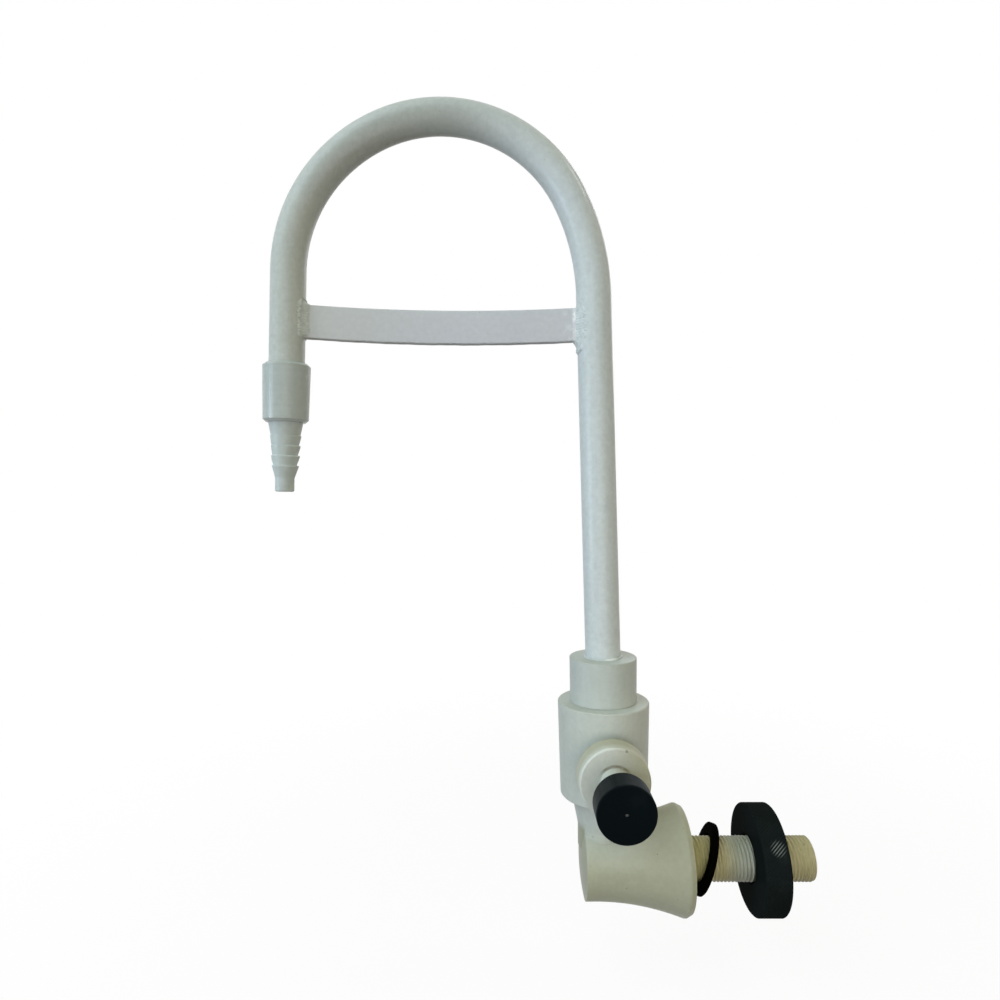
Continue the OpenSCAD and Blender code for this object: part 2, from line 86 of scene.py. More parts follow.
class Grain(Enum):
    """How a noise is drawn out: its scale along X, Y and Z, per metre."""

    ALONG_X = (18.0, 420.0, 420.0)
    ALONG_Z = (420.0, 420.0, 14.0)
    ROUND_Z = (40.0, 40.0, 700.0)
    ROUND_X = (900.0, 60.0, 60.0)
    ALONG_KNOB = (420.0, 20.0, 420.0)
    EVEN = (160.0, 160.0, 160.0)


class Way(Enum):
    """Axes that a step of a finish can run along."""

    X = "X"
    Y = "Y"
    Z = "Z"


class Line(Enum):
    """What a step can be measured from: a place in mm, and 1 for each axis that counts."""

    SHANK = ((0.0, 0.0, 0.0), (0.0, 1.0, 1.0))
    KNOB = ((-40.0, 0.0, 54.7), (1.0, 0.0, 1.0))
    BEND = ((-120.3, 0.0, 299.9), (1.0, 0.0, 1.0))
    # middle of a painted highlight on the nut's ridges
    KNURL_GLINT = ((39.5, -20.4, 15.6), (1.0, 1.0, 1.0))


@dataclass(frozen=True)
class Noise:
    """A noise about 0.5: its scale per metre, its finer layers, their strength, and its grain."""

    scale: float
    detail: float = 2.0
    rough: float = 0.5
    grain: Grain | None = None


# Shader graph


class Value:
    """A shader socket that takes part in Python arithmetic; each operator adds a Math node."""

    def __init__(self, graph: "Graph", socket: Socket) -> None:
        """Keep the graph and the socket."""
        self.graph = graph
        self.socket = socket

    def __add__(self, other: Number) -> "Value":
        """Return the sum."""
        return self.graph.math("ADD", self, other)

    def __sub__(self, other: Number) -> "Value":
        """Return the difference."""
        return self.graph.math("SUBTRACT", self, other)

    def __mul__(self, other: Number) -> "Value":
        """Return the product."""
        return self.graph.math("MULTIPLY", self, other)

    __radd__ = __add__

    def larger(self, other: Number) -> "Value":
        """Return the larger of the two."""
        return self.graph.math("MAXIMUM", self, other)

    def rise(self, zero: float, one: float) -> "Value":
        """Return a soft step.

        Args:
            zero: value at which the step is 0.
            one: value at which the step is 1, which may be the smaller of the two.

        Returns:
            A value from 0 to 1.
        """
        inputs = {"Value": self, "From Min": zero, "From Max": one}
        node = self.graph.add("ShaderNodeMapRange", inputs, interpolation_type="SMOOTHSTEP")
        return Value(self.graph, node.outputs["Result"])


class Graph:
    """Node tree of one material or of the world."""

    def __init__(self, owner: Material | bpy.types.World) -> None:
        """Clear the owner's nodes, and keep the place on the piece, in metres of the shared frame.

        Args:
            owner: the material or the world.
        """
        owner.use_nodes = True
        self.owner = owner
        self.tree = owner.node_tree
        self.tree.nodes.clear()
        self.point = self.add("ShaderNodeTexCoord").outputs["Object"]

    def add(self, kind: str, inputs: dict[Any, Any] | None = None, **settings: Any) -> bpy.types.Node:
        """Add a node.

        Args:
            kind: the node's type.
            inputs: what its sockets get, by name or number: a Value, a shader node, an output socket,
                a colour of three numbers, or a number.
            settings: its properties, set first.

        Returns:
            The node.
        """
        node = self.tree.nodes.new(kind)
        for key, value in settings.items():
            setattr(node, key, value)
        for key, value in (inputs or {}).items():
            socket = node.inputs[key]
            if isinstance(value, Value):
                value = value.socket
            elif isinstance(value, bpy.types.Node):
                value = value.outputs[0]
            if isinstance(value, Socket):
                self.tree.links.new(value, socket)
            else:
                socket.default_value = (*value, 1.0) if socket.type == "RGBA" else value
        return node

    def math(self, operation: str, one: Number, two: Number) -> Value:
        """Return the result of a Math node on two values."""
        node = self.add("ShaderNodeMath", {0: one, 1: two}, operation=operation)
        return Value(self, node.outputs[0])

    def stretch(self, scale: Place) -> Socket:
        """Return the place on the piece times a scale for each axis."""
        node = self.add("ShaderNodeVectorMath", {0: self.point, 1: scale}, operation="MULTIPLY")
        return node.outputs["Vector"]

    def distance(self, place: Place, counts: Place = (1.0, 1.0, 1.0)) -> Value:
        """Measure the distance from a place.

        Args:
            place: the place, in mm.
            counts: 1 for each axis that counts, and 0 for the others.

        Returns:
            The distance in mm.
        """
        spot = self.stretch(tuple(part / MM for part in counts))
        node = self.add("ShaderNodeVectorMath", {0: spot, 1: place}, operation="DISTANCE")
        return Value(self, node.outputs["Value"])

    def noise(self, noise: Noise) -> Value:
        """Draw a noise at the place on the piece.

        Args:
            noise: its scale, layers and grain.

        Returns:
            A value about 0.5.
        """
        at = self.point if noise.grain is None else self.stretch(noise.grain.value)
        inputs = {"Vector": at, "Scale": noise.scale, "Detail": noise.detail, "Roughness": noise.rough}
        return Value(self, self.add("ShaderNodeTexNoise", inputs).outputs["Fac"])

    def along(self, way: Way | Line | Noise) -> Value:
        """Return what a step runs along.

        Args:
            way: an axis, something to measure from, or a noise.

        Returns:
            The place along the axis or the distance, in mm, or the noise.
        """
        if isinstance(way, Noise):
            return self.noise(way)
        if isinstance(way, Line):
            return self.distance(*way.value)
        node = self.add("ShaderNodeSeparateXYZ", {0: self.stretch((1.0 / MM,) * 3)})
        return Value(self, node.outputs[way.value])

    def cells(self, scale: float) -> Value:
        """Return the distance to the nearest of scattered points, in cells."""
        node = self.add("ShaderNodeTexVoronoi", {"Vector": self.point, "Scale": scale})
        return Value(self, node.outputs["Distance"])

    def seen(self) -> Value:
        """Tell the rays that show things from those that only light them.

        Returns:
            1 for rays from the camera, from gloss and through clear things, otherwise 0.
        """
        path = self.add("ShaderNodeLightPath").outputs
        kinds = ("Is Camera Ray", "Is Glossy Ray", "Is Transmission Ray")
        camera, gloss, clear = (Value(self, path[kind]) for kind in kinds)
        return camera.larger(gloss).larger(clear)

    def mix(self, share: Number, one: Any, two: Any) -> Socket:
        """Return two colours mixed by the second's share, which the node holds between 0 and 1."""
        return self.add("ShaderNodeMix", {0: share, 6: one, 7: two}, data_type="RGBA").outputs[2]

    def shade(self, colour: Any, tone: Value) -> Socket:
        """Return a colour made lighter or darker by a factor."""
        node = self.add("ShaderNodeVectorMath", {0: colour, "Scale": tone}, operation="SCALE")
        return node.outputs["Vector"]

    def bump(self, height: Value, depth: float, strength: float) -> Socket:
        """Return a normal from a height of 0 to 1 that stands for a depth in mm."""
        inputs = {"Height": height, "Distance": depth * MM, "Strength": strength}
        return self.add("ShaderNodeBump", inputs).outputs["Normal"]

    def finish(self, shader: bpy.types.Node) -> None:
        """Send a shader to the output of the material or of the world."""
        kind = "World" if isinstance(self.owner, bpy.types.World) else "Material"
        self.add(f"ShaderNodeOutput{kind}", {"Surface": shader})

    def surface(self, inputs: dict[str, Any]) -> Material:
        """Finish the material with a Principled shader of those inputs."""
        self.finish(self.add("ShaderNodeBsdfPrincipled", inputs))
        return self.owner


# Finishes


@dataclass(frozen=True)
class Step:
    """A soft step from 0 to 1 along a way, and down again over its back, lifted to a least."""

    way: Way | Line | Noise
    zero: float
    one: float
    back: tuple[float, float] | None = None
    least: float = 0.0

    def mask(self, graph: Graph) -> Value:
        """Return the step at each place.

        Args:
            graph: the finish's graph.

        Returns:
            A value from the least to 1.
        """
        at = graph.along(self.way)
        step = at.rise(self.zero, self.one)
        if self.back is not None:
            step = step * at.rise(self.back[1], self.back[0])
        return self.least + step * (1.0 - self.least)


@dataclass(frozen=True)
class Patch:
    """A colour over the part of a piece that its steps leave, as strong as given, or cloudy."""

    colour: Colour
    strength: float
    steps: tuple[Step, ...]
    cloudy: float = 0.0

    def over(self, graph: Graph, below: Any, cloud: Value) -> Socket:
        """Lay the patch over a colour.

        Its share is its strength, plus its part of the cloud, times each of its steps.

        Args:
            graph: the finish's graph.
            below: the colour under it.
            cloud: the noise that a cloudy patch follows.

        Returns:
            The colour with the patch.
        """
        share = self.strength + cloud * self.cloudy
        for step in self.steps:
            share = share * step.mask(graph)
        return graph.mix(share, below, self.colour)


@dataclass(frozen=True)
class Mark:
    """A spot, smear or painted highlight: its middle and radius in mm, how strong and how ragged it is."""

    place: Place
    radius: float
    strength: float
    colour: Colour = (0.16, 0.15, 0.11)
    ragged: float = 0.6


def top_edge_shade(top: float, rounding: float) -> Patch:
    """Return a faint painted shade on the rounded edge under a top at that height, in mm."""
    edge = Step(Way.Z, top - 1.2 * rounding, top - 0.6 * rounding, (top - 0.08, top - 0.01))
    return Patch(DIRT_AND_SHADE, 0.14, (edge,))


@dataclass(frozen=True)
class Milky:
    """Natural polypropylene: milky, cloudy and satin, yellowed by age, with streaks and marks.

    Some coats change the plastic's own colour and others lay painted shade and highlight on it; grime,
    some of it painted shade, lies on top.
    """

    name: str
    fresh: Colour
    aged: Colour
    ageing: float
    grain: Grain
    streaks: float = 0.10
    roughness: float = 0.42
    specks: float = 0.5
    marks: tuple[Mark, ...] = ()
    dirt: Colour = DIRT_AND_SHADE
    gloss: float = 0.2
    mottling: float = 0.20
    under: float = 0.12
    under_depth: float = 2.5
    clouding: float = 0.9
    # a step towards the aged colour: partly age, partly painted shade
    aged_and_shaded: Step | None = None
    more: float = 0.0
    coats: tuple[Patch, ...] = ()
    grime: tuple[Patch, ...] = ()

    def make(self) -> Material:
        """Build the material.

        The colour goes from fresh to aged by clouds of about 25 mm, and then gets its coats. The tone
        is 1 plus small parts of the clouds, a fine mottle and a drawn-out streak. Specks are scattered
        cells kept where another noise is high. Marks fade out from their middle, broken up by the
        mottle.

        Returns:
            The material.
        """
        graph = Graph(bpy.data.materials.new(self.name))
        cloud = graph.noise(Noise(38.0, 4.0, 0.55))
        mottle = graph.noise(Noise(420.0, 3.0, 0.6))
        streak = graph.noise(Noise(1.0, 3.0, 0.55, self.grain))
        tone = 1.0 + (cloud - 0.5) * 0.14 + (mottle - 0.5) * self.mottling + (streak - 0.5) * self.streaks
        share = self.ageing + (cloud - 0.5) * self.clouding
        if self.aged_and_shaded is not None:
            share = share + self.aged_and_shaded.mask(graph) * self.more
        colour = graph.mix(share, self.fresh, self.aged)
        for coat in self.coats:
            colour = coat.over(graph, colour, cloud)
        colour = graph.shade(colour, tone)
        speck = graph.cells(330.0).rise(0.16, 0.06) * graph.noise(Noise(95.0)).rise(0.60, 0.68)
        colour = graph.mix(speck * self.specks, colour, self.dirt)
        # grime patches: real dirt, and painted shade on edges and joints
        for dirt_and_shade in self.grime:
            colour = dirt_and_shade.over(graph, colour, cloud)
        for mark in self.marks:
            far = graph.distance(mark.place) + (mottle - 0.5) * (mark.ragged * mark.radius)
            mask = far.rise(mark.radius, 0.35 * mark.radius)
            colour = graph.mix(mask * mark.strength, colour, mark.colour)
        skin = graph.noise(Noise(900.0))
        return graph.surface({
            "Base Color": colour,
            "Roughness": self.roughness + (cloud - 0.5) * 0.16 + (streak - 0.5) * 0.12 + speck * 0.2,
            "Normal": graph.bump(skin * 0.5 + mottle * 0.3 + streak * 0.6, 0.05, 0.5),
            "Specular IOR Level": self.gloss,
            "Subsurface Weight": self.under,
            "Subsurface Radius": (1.0, 0.95, 0.75),
            "Subsurface Scale": self.under_depth * MM,
        })


@dataclass(frozen=True)
class Black:
    """Moulded black plastic: satin, with a fine skin, dull smudges, dust and rubbed edges.

    Its steps paint shade where its own shape leaves less light; its rubbed patches are wear, and on the
    nut also a painted highlight.
    """

    name: str
    colour: Colour
    worn: Colour
    roughness: float = 0.45
    gloss: float = 0.03
    dust: float = 0.25
    smudging: float = 0.10
    dimmed: tuple[Step, ...] = ()
    rubbed: tuple[Patch, ...] = ()

    def make(self) -> Material:
        """Build the material: a dark tone with smudges, dust specks, and rubbed places on top, some of
        them a painted highlight.

        Returns:
            The material.
        """
        graph = Graph(bpy.data.materials.new(self.name))
        smudge = graph.noise(Noise(70.0, 4.0, 0.6))
        skin = graph.noise(Noise(1600.0, 2.0, 0.55))
        tone = 1.0 + (smudge - 0.5) * 0.7 + (skin - 0.5) * 0.35
        for step in self.dimmed:
            tone = tone * step.mask(graph)
        colour = graph.shade(self.colour, tone)
        colour = graph.mix(smudge.rise(0.58, 0.74) * self.smudging, colour, self.worn)
        speck = graph.cells(620.0).rise(0.14, 0.05) * graph.noise(Noise(150.0)).rise(0.56, 0.66)
        colour = graph.mix(speck * self.dust, colour, self.worn)
        # rubbed patches: wear, and on the nut a painted highlight
        for patch in self.rubbed:
            colour = patch.over(graph, colour, smudge)
        return graph.surface({
            "Base Color": colour,
            "Roughness": self.roughness + (smudge - 0.5) * 0.25 + (skin - 0.5) * 0.1,
            "Normal": graph.bump(skin, 0.03, 0.4),
            "Specular IOR Level": self.gloss,
        })


@dataclass(frozen=True)
class Rubber:
    """Black rubber: dull, with a powdery bloom and fine pores."""

    name: str
    colour: Colour = (0.0012, 0.0012, 0.0008)
    bloom: Colour = (0.008, 0.0078, 0.005)

    def make(self) -> Material:
        """Build the material: a dark colour under a patchy bloom, with pores in the bump.

        Returns:
            The material.
        """
        graph = Graph(bpy.data.materials.new(self.name))
        patch = graph.noise(Noise(110.0, 4.0, 0.6))
        pores = graph.cells(1400.0)
        colour = graph.mix(patch.rise(0.5, 0.75) * 0.35, self.colour, self.bloom)
        return graph.surface({
            "Base Color": graph.shade(colour, 0.85 + pores * 0.3),
            "Roughness": 0.82 + (patch - 0.5) * 0.2,
            "Normal": graph.bump(pores, 0.04, 0.5),
            "Specular IOR Level": 0.004,
        })


# Surfaces


class Shell:
    """Closed grids of points that become one mesh piece."""

    def __init__(self, name: str, *grids: np.ndarray, ring: bool = True) -> None:
        """Start a shell and add its grids.

        Args:
            name: the piece's name.
            grids: points in mm, each rows by columns by 3.
            ring: whether the grids are rings.
        """
        self.name = name
        self.points: list[np.ndarray] = []
        self.faces: list[np.ndarray] = []
        self.count = 0
        for grid in grids:
            self.add(grid, ring)

    def add(self, grid: np.ndarray, ring: bool) -> None:
        """Add a grid that closes round each row: a ring, or a bar with a point at each end.

        The quad (i, j) joins the points (i, j), (i, j + 1), (i + 1, j + 1) and (i + 1, j). The last
        row of a ring is joined to its first. Each end of a bar is a fan of triangles round the
        middle of its row. The faces are wound so that the enclosed volume is positive.

        Args:
            grid: points in mm, rows by columns by 3.
            ring: whether it is a ring.
        """
        rows, cols = grid.shape[:2]
        i, j = np.meshgrid(np.arange(rows if ring else rows - 1), np.arange(cols), indexing="ij")
        below, beside = (i + 1) % rows, (j + 1) % cols
        corners = (i * cols + j, i * cols + beside, below * cols + beside, below * cols + j)
        points, groups = grid.reshape(-1, 3), [np.stack(corners, axis=-1).reshape(-1, 4)]
        if not ring:
            start, middle, last = np.arange(cols), np.full(cols, rows * cols), (rows - 1) * cols
            after = (start + 1) % cols
            groups.append(np.stack((middle, after, start), axis=-1))
            groups.append(np.stack((middle + 1, last + start, last + after), axis=-1))
            points = np.concatenate((points, grid[[0, -1]].mean(axis=1)))
        points, volume = points * MM, 0.0
        for faces in groups:
            first = points[faces[:, 0]]
            for k in range(1, faces.shape[1] - 1):
                side, other = points[faces[:, k]], points[faces[:, k + 1]]
                volume += float(np.einsum("ij,ij->", first, np.cross(side, other)))
        self.faces += [(faces if volume > 0 else faces[:, ::-1]) + self.count for faces in groups]
        self.points.append(points)
        self.count += len(points)

    def build(self, body: Body, slot: Slot, *nodes: str, sharp: float = 40.0) -> Piece:
        """Make the mesh and put it on its body.

        Args:
            body: the body it rides on.
            slot: the record's slot; it is not used.
            nodes: the solids that it stands for.
            sharp: edges that turn by more than this, in degrees, stay sharp.

        Returns:
            The piece.
        """
        mesh = bpy.data.meshes.new(self.name)
        faces = [corner for group in self.faces for corner in group.tolist()]
        mesh.from_pydata(np.concatenate(self.points).tolist(), [], faces)
        mesh.polygons.foreach_set("use_smooth", np.ones(len(mesh.polygons), dtype=bool))
        mesh.set_sharp_from_angle(angle=math.radians(sharp))
        mesh.update()
        piece = bpy.data.objects.new(self.name, mesh)
        bpy.context.scene.collection.objects.link(piece)
        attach(piece, body.value)
        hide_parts(*nodes)
        log.info("piece %s: %d faces", self.name, len(mesh.polygons))
        return piece


def dress(finish: Material, *things: Piece | str) -> None:
    """Give new pieces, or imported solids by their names, a finish.

    Args:
        finish: the material.
        things: the pieces or the names.
    """
    for thing in things:
        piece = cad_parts[thing] if isinstance(thing, str) else thing
        if not piece.material_slots:
            piece.data.materials.append(finish)
        for slot in piece.material_slots:
            slot.material = finish
        log.info("%s dressed in %s", piece.name, finish.name)


def soft_loop(corners: list[tuple[float, float]], cuts: list[float], steps: int = 5) -> np.ndarray:
    """Close an outline and soften its corners.

    A corner P with a cut c is replaced by the blend (1-t)^2 A + 2t(1-t) P + t^2 B, where A and B lie
    at the distance c from P on its two sides and t runs from 0 to 1.

    Args:
        corners: corners in order round the outline.
        cuts: the cut at each corner.
        steps: points at each corner.

    Returns:
        Points round the outline, one per row.
    """
    at = np.array(corners, float)
    cut = np.array(cuts, float)[:, None]
    back, ahead = np.roll(at, 1, axis=0) - at, np.roll(at, -1, axis=0) - at
    back /= np.linalg.norm(back, axis=1, keepdims=True)
    ahead /= np.linalg.norm(ahead, axis=1, keepdims=True)
    t = np.linspace(0.0, 1.0, steps)[None, :, None]
    first, last = (at + cut * back)[:, None], (at + cut * ahead)[:, None]
    return ((1 - t) ** 2 * first + 2 * t * (1 - t) * at[:, None] + t**2 * last).reshape(-1, 2)


def soft_box(width: float, height: float, cut: float) -> np.ndarray:
    """Return the outline of a rectangle round the origin, with softened corners."""
    x, y = width / 2.0, height / 2.0
    return soft_loop([(-x, -y), (x, -y), (x, y), (-x, y)], [cut] * 4)


def even_loop(loop: np.ndarray, count: int) -> np.ndarray:
    """Spread points evenly round a closed outline.

    Args:
        loop: points of the outline, one per row.
        count: how many points to return.

    Returns:
        Points at even steps of the length along the outline's straight pieces.
    """
    closed = np.concatenate((loop, loop[:1]))
    run = np.concatenate(([0.0], np.cumsum(np.linalg.norm(np.diff(closed, axis=0), axis=1))))
    at = np.linspace(0.0, run[-1], count, endpoint=False)
    return np.stack((np.interp(at, run, closed[:, 0]), np.interp(at, run, closed[:, 1])), axis=-1)


def angles(count: int) -> np.ndarray:
    """Return evenly spaced angles of one turn."""
    return np.linspace(0.0, TURN, count, endpoint=False)


def lumps(angle: np.ndarray, waves: tuple[tuple[int, float, float], ...]) -> np.ndarray:
    """Add up waves round a loop.

    Args:
        angle: places round the loop.
        waves: the number of waves, the height and the phase of each.

    Returns:
        The sum of height times sin(number times angle plus phase).
    """
    return sum(high * np.sin(number * angle + phase) for number, high, phase in waves)


def turned(along: np.ndarray, radius: np.ndarray, angle: np.ndarray) -> np.ndarray:
    """Return points at places along X, at a radius from it and at an angle round it."""
    along, radius, angle = np.broadcast_arrays(along, radius, angle)
    return np.stack((along, radius * np.cos(angle), radius * np.sin(angle)), axis=-1)


def upright(flat: np.ndarray, across: np.ndarray) -> np.ndarray:
    """Return points from X and Z pairs and their places along Y."""
    return np.stack((flat[..., 0], np.broadcast_to(across, flat.shape[:-1]), flat[..., 1]), axis=-1)


def on_leg(
    base: np.ndarray, leg: np.ndarray, out: np.ndarray, across: np.ndarray, high: np.ndarray
) -> np.ndarray:
    """Place points by a leg of the pipe.

    Args:
        base: a place on the leg's axis, as X and Z.
        leg: the leg's direction, upwards, as X and Z.
        out: how far each point is from the axis towards +X, square to the leg.
        across: how far it is along Y.
        high: how far it is along the leg.

    Returns:
        The points.
    """
    out, high = np.broadcast_arrays(out, high)
    square = np.array([leg[1], -leg[0]])
    return upright(base + out[..., None] * square + high[..., None] * leg, across)


# Sub-assemblies


@dataclass
class WallMount:
    """Wall body, threaded shank, washer and back nut."""

    shank_r: float = 10.45
    shank_from: float = -18.0
    shank_to: float = 62.5
    bore_r: float = 6.5
    bore_edge: float = 0.4
    end_bevel: float = 0.6
    pitch: float = 1.814
    thread_depth: float = 0.68
    thread_flat: float = 0.14
    washer_r: float = 17.5
    washer_hole_r: float = 11.74
    washer_t: float = 2.9
    washer_edge: float = 0.5
    washer_inset: float = 0.12
    washer_at: float = 10.5
    washer_lean: float = 17.8
    washer_turn: float = 7.9
    nut_r: float = 25.9
    nut_bore_r: float = 10.51
    nut_lead: float = 1.2
    nut_t: float = 12.5
    nut_at: float = 32.0
    nut_bevel: float = 0.6
    ridges: int = 104
    ridge_depth: float = 0.24
    ridge_slant: float = -0.9
    glint_r: float = 4.4

    def shank(self) -> Piece:
        """Build the threaded shank.

        The wall's radius falls from the crest by the thread's depth where the wave of
        x / pitch - angle / turn is at its root, and the wave is flattened at crest and root. The
        end bevel cuts it off, and the bore closes the loop.

        Returns:
            The piece.
        """
        rows, angle = 560, angles(96)
        x = np.linspace(self.shank_from, self.shank_to, rows)[:, None]
        wave = np.abs(2.0 * ((x / self.pitch - angle / TURN) % 1.0) - 1.0)
        flat = np.clip((wave - self.thread_flat) / (1.0 - 2.0 * self.thread_flat), 0.0, 1.0)
        tooth = 0.5 * flat + 0.5 * flat * flat * (3.0 - 2.0 * flat)
        radius = self.shank_r - self.thread_depth * (1.0 - tooth)
        bevel = self.shank_r + self.end_bevel - np.maximum(x - self.shank_to + 2 * self.end_bevel, 0.0)
        radius = np.minimum(radius, np.minimum(bevel, self.shank_r))
        edge, bore = self.bore_edge, self.bore_r
        inner_x = [self.shank_to, self.shank_to - edge, self.shank_from + edge, self.shank_from]
        inner_r = np.array([[bore + edge], [bore], [bore], [bore + edge]])
        along = np.concatenate((x[:, 0], inner_x))[:, None]
        radius = np.concatenate((radius, inner_r + 0.0 * angle))
        shell = Shell("threaded_shank", turned(along, radius, angle))
        return shell.build(Body.TAP, Slot.YELLOWED, "inlet_shank", sharp=60.0)

    def washer(self) -> Piece:
        """Build the rubber washer.

        A softened rectangle is carried round a circle, with small waves on its rim, and is then
        tilted as it hangs on the shank.

        Returns:
            The piece.
        """
        half, hole, rim = self.washer_t / 2.0, self.washer_hole_r, self.washer_r
        corners = [(hole, -half), (rim, -half), (rim, half), (hole, half)]
        loop = soft_loop(corners, [self.washer_edge] * 4)
        angle = angles(160)
        share = (loop[:, :1] - hole) / (rim - hole)
        wave = lumps(angle, ((3, 0.05, 0.4), (7, 0.04, 1.9), (19, 0.03, 0.7))) - self.washer_inset
        along = loop[:, 1:] + lumps(angle, ((2, 0.04, 0.6),))
        grid = turned(along, loop[:, :1] + share * wave, angle)
        lean, turn = math.radians(self.washer_lean), math.radians(-self.washer_turn)
        tilt = np.array(Matrix.Rotation(turn, 3, "Z") @ Matrix.Rotation(lean, 3, "Y"))
        shell = Shell("rubber_washer", grid @ tilt.T + np.array([self.washer_at, 0.0, 0.0]))
        return shell.build(Body.WASHER, Slot.RUBBER, "shank_washer")

    def nut(self) -> Piece:
        """Build the knurled back nut.

        The outline of half the nut is carried round the shank's axis. On the rim the radius falls
        between ridges that slant across it: the ridge's wave is the cosine of the angle times their
        number, less the slant times x over their spacing.

        Returns:
            The piece.
        """
        near, far = self.nut_at, self.nut_at + self.nut_t
        rim, bore, lead, bevel = self.nut_r, self.nut_bore_r, self.nut_lead, self.nut_bevel
        x = np.linspace(near + bevel, far - bevel, 27)
        face = np.linspace(bore + lead + 0.3, rim - bevel - 0.3, 4)
        profile = np.concatenate((
            [[bore, far - lead], [bore, near + lead], [bore + lead, near]],
            np.stack((face, np.full_like(face, near)), axis=-1),
            [[rim - bevel, near], [rim - 0.5 * bevel, near + 0.5 * bevel]],
            np.stack((np.full_like(x, rim), x), axis=-1),
            [[rim - 0.5 * bevel, far - 0.5 * bevel], [rim - bevel, far]],
            np.stack((face[::-1], np.full_like(face, far)), axis=-1),
            [[bore + lead, far]],
        ))
        angle = angles(self.ridges * 8)
        radius, along = profile[:, :1], profile[:, 1:]
        spacing = TURN * rim / self.ridges
        wave = np.cos(self.ridges * angle - TURN * self.ridge_slant * (along - near) / spacing)
        inset = np.clip((along - near) / bevel, 0.0, 1.0) * np.clip((far - along) / bevel, 0.0, 1.0)
        on_rim = (radius > rim - 0.6 * bevel) * inset
        radius = radius - on_rim * self.ridge_depth * (0.5 - 0.5 * wave)
        shell = Shell("knurled_back_nut", turned(along, radius, angle))
        return shell.build(Body.NUT, Slot.BLACK, "back_nut")

    def base_finish(self) -> Material:
        """Make the wall body's finish: paler up its neck, with painted shade on its end, and a smear in
        front.

        Returns:
            The material.
        """
        return Milky(
            "aged_base_plastic", (0.43, 0.437, 0.336), (0.395, 0.397, 0.272), 0.5, Grain.ALONG_X, 0.06,
            marks=(
                Mark((-41.5, -18.6, 2.4), 4.6, 0.07, ragged=1.6),
                Mark((-34.5, -19.1, 0.8), 5.2, 0.08, ragged=1.6),
                Mark((-26.8, -20.0, 2.6), 4.4, 0.07, ragged=1.6),
                Mark((-32.0, -19.0, -4.0), 0.55, 0.55),
                Mark((-47.0, -10.9, 16.8), 0.9, 0.25, ragged=1.2),
            ),
            coats=(
                Patch((0.53, 0.56, 0.52), 1.0, (Step(Way.Z, 2.0, 26.0), Step(Way.X, -8.0, -40.0))),
                # painted shade on the end face, below the neck
                Patch((0.335, 0.335, 0.25), 1.0, (Step(Way.X, -50.0, -50.9), Step(Way.Z, 22.0, 17.0))),
            ),
        ).make()

    def thread_finish(self) -> Material:
        """Make the shank's finish: deeper at the wall, paler in the open, grimy in the thread's roots.

        Returns:
            The material.
        """
        grime, in_open = (0.26, 0.24, 0.12), (15.5, 27.0, (40.0, 48.0))
        roots = (
            Step(Line.SHANK, 10.3, 9.7),
            Step(Noise(120.0, 3.0, 0.6), 0.25, 0.75, least=0.3),
            Step(Way.X, *in_open, least=0.4),
        )
        return Milky(
            "yellowed_thread_plastic", (0.50, 0.455, 0.285), (0.45, 0.395, 0.20), 0.5, Grain.ROUND_X, 0.08,
            marks=(Mark((58.5, -4.3, 9.5), 0.9, 0.5),),
            dirt=grime,
            clouding=0.8,
            coats=(
                Patch((0.40, 0.36, 0.165), 0.9, (Step(Way.X, 16.0, 6.0),)),
                Patch((0.37, 0.395, 0.35), 0.85, (Step(Way.X, *in_open),)),
            ),
            grime=(Patch(grime, 0.5, roots),),
        ).make()

    def nut_finish(self) -> Material:
        """Make the nut's finish: painted shade on its face, faint wear along the ridge tops, and a painted
        highlight on the ridge tops round one spot.

        Returns:
            The material.
        """
        worn, face = (0.20, 0.22, 0.205), self.nut_at
        tops = Step(Line.SHANK, self.nut_r - 0.55 * self.ridge_depth, self.nut_r - 0.02)
        spot = Step(Line.KNURL_GLINT, self.glint_r, 0.4 * self.glint_r)
        broken = Step(Noise(90.0, 3.0, 0.6), 0.35, 0.75)
        return Black(
            "charcoal_nut_plastic", (0.0088, 0.0122, 0.0118), worn, gloss=0.001, dust=0.06, smudging=0.02,
            # painted shade on the nut's face
            dimmed=(Step(Way.X, face, face + 0.7, least=0.85),),
            # first patch: painted highlight on the ridge tops round one spot, in the wear colour; second:
            # faint wear
            rubbed=(Patch(worn, 0.9, (tops, spot)), Patch(worn, 0.025, (tops, broken))),
        ).make()

    def build(self) -> None:
        """Build the new pieces and dress the sub-assembly."""
        dress(self.base_finish(), "wall_body")
        dress(self.thread_finish(), self.shank())
        dress(Rubber("washer_rubber").make(), self.washer())
        dress(self.nut_finish(), self.nut())


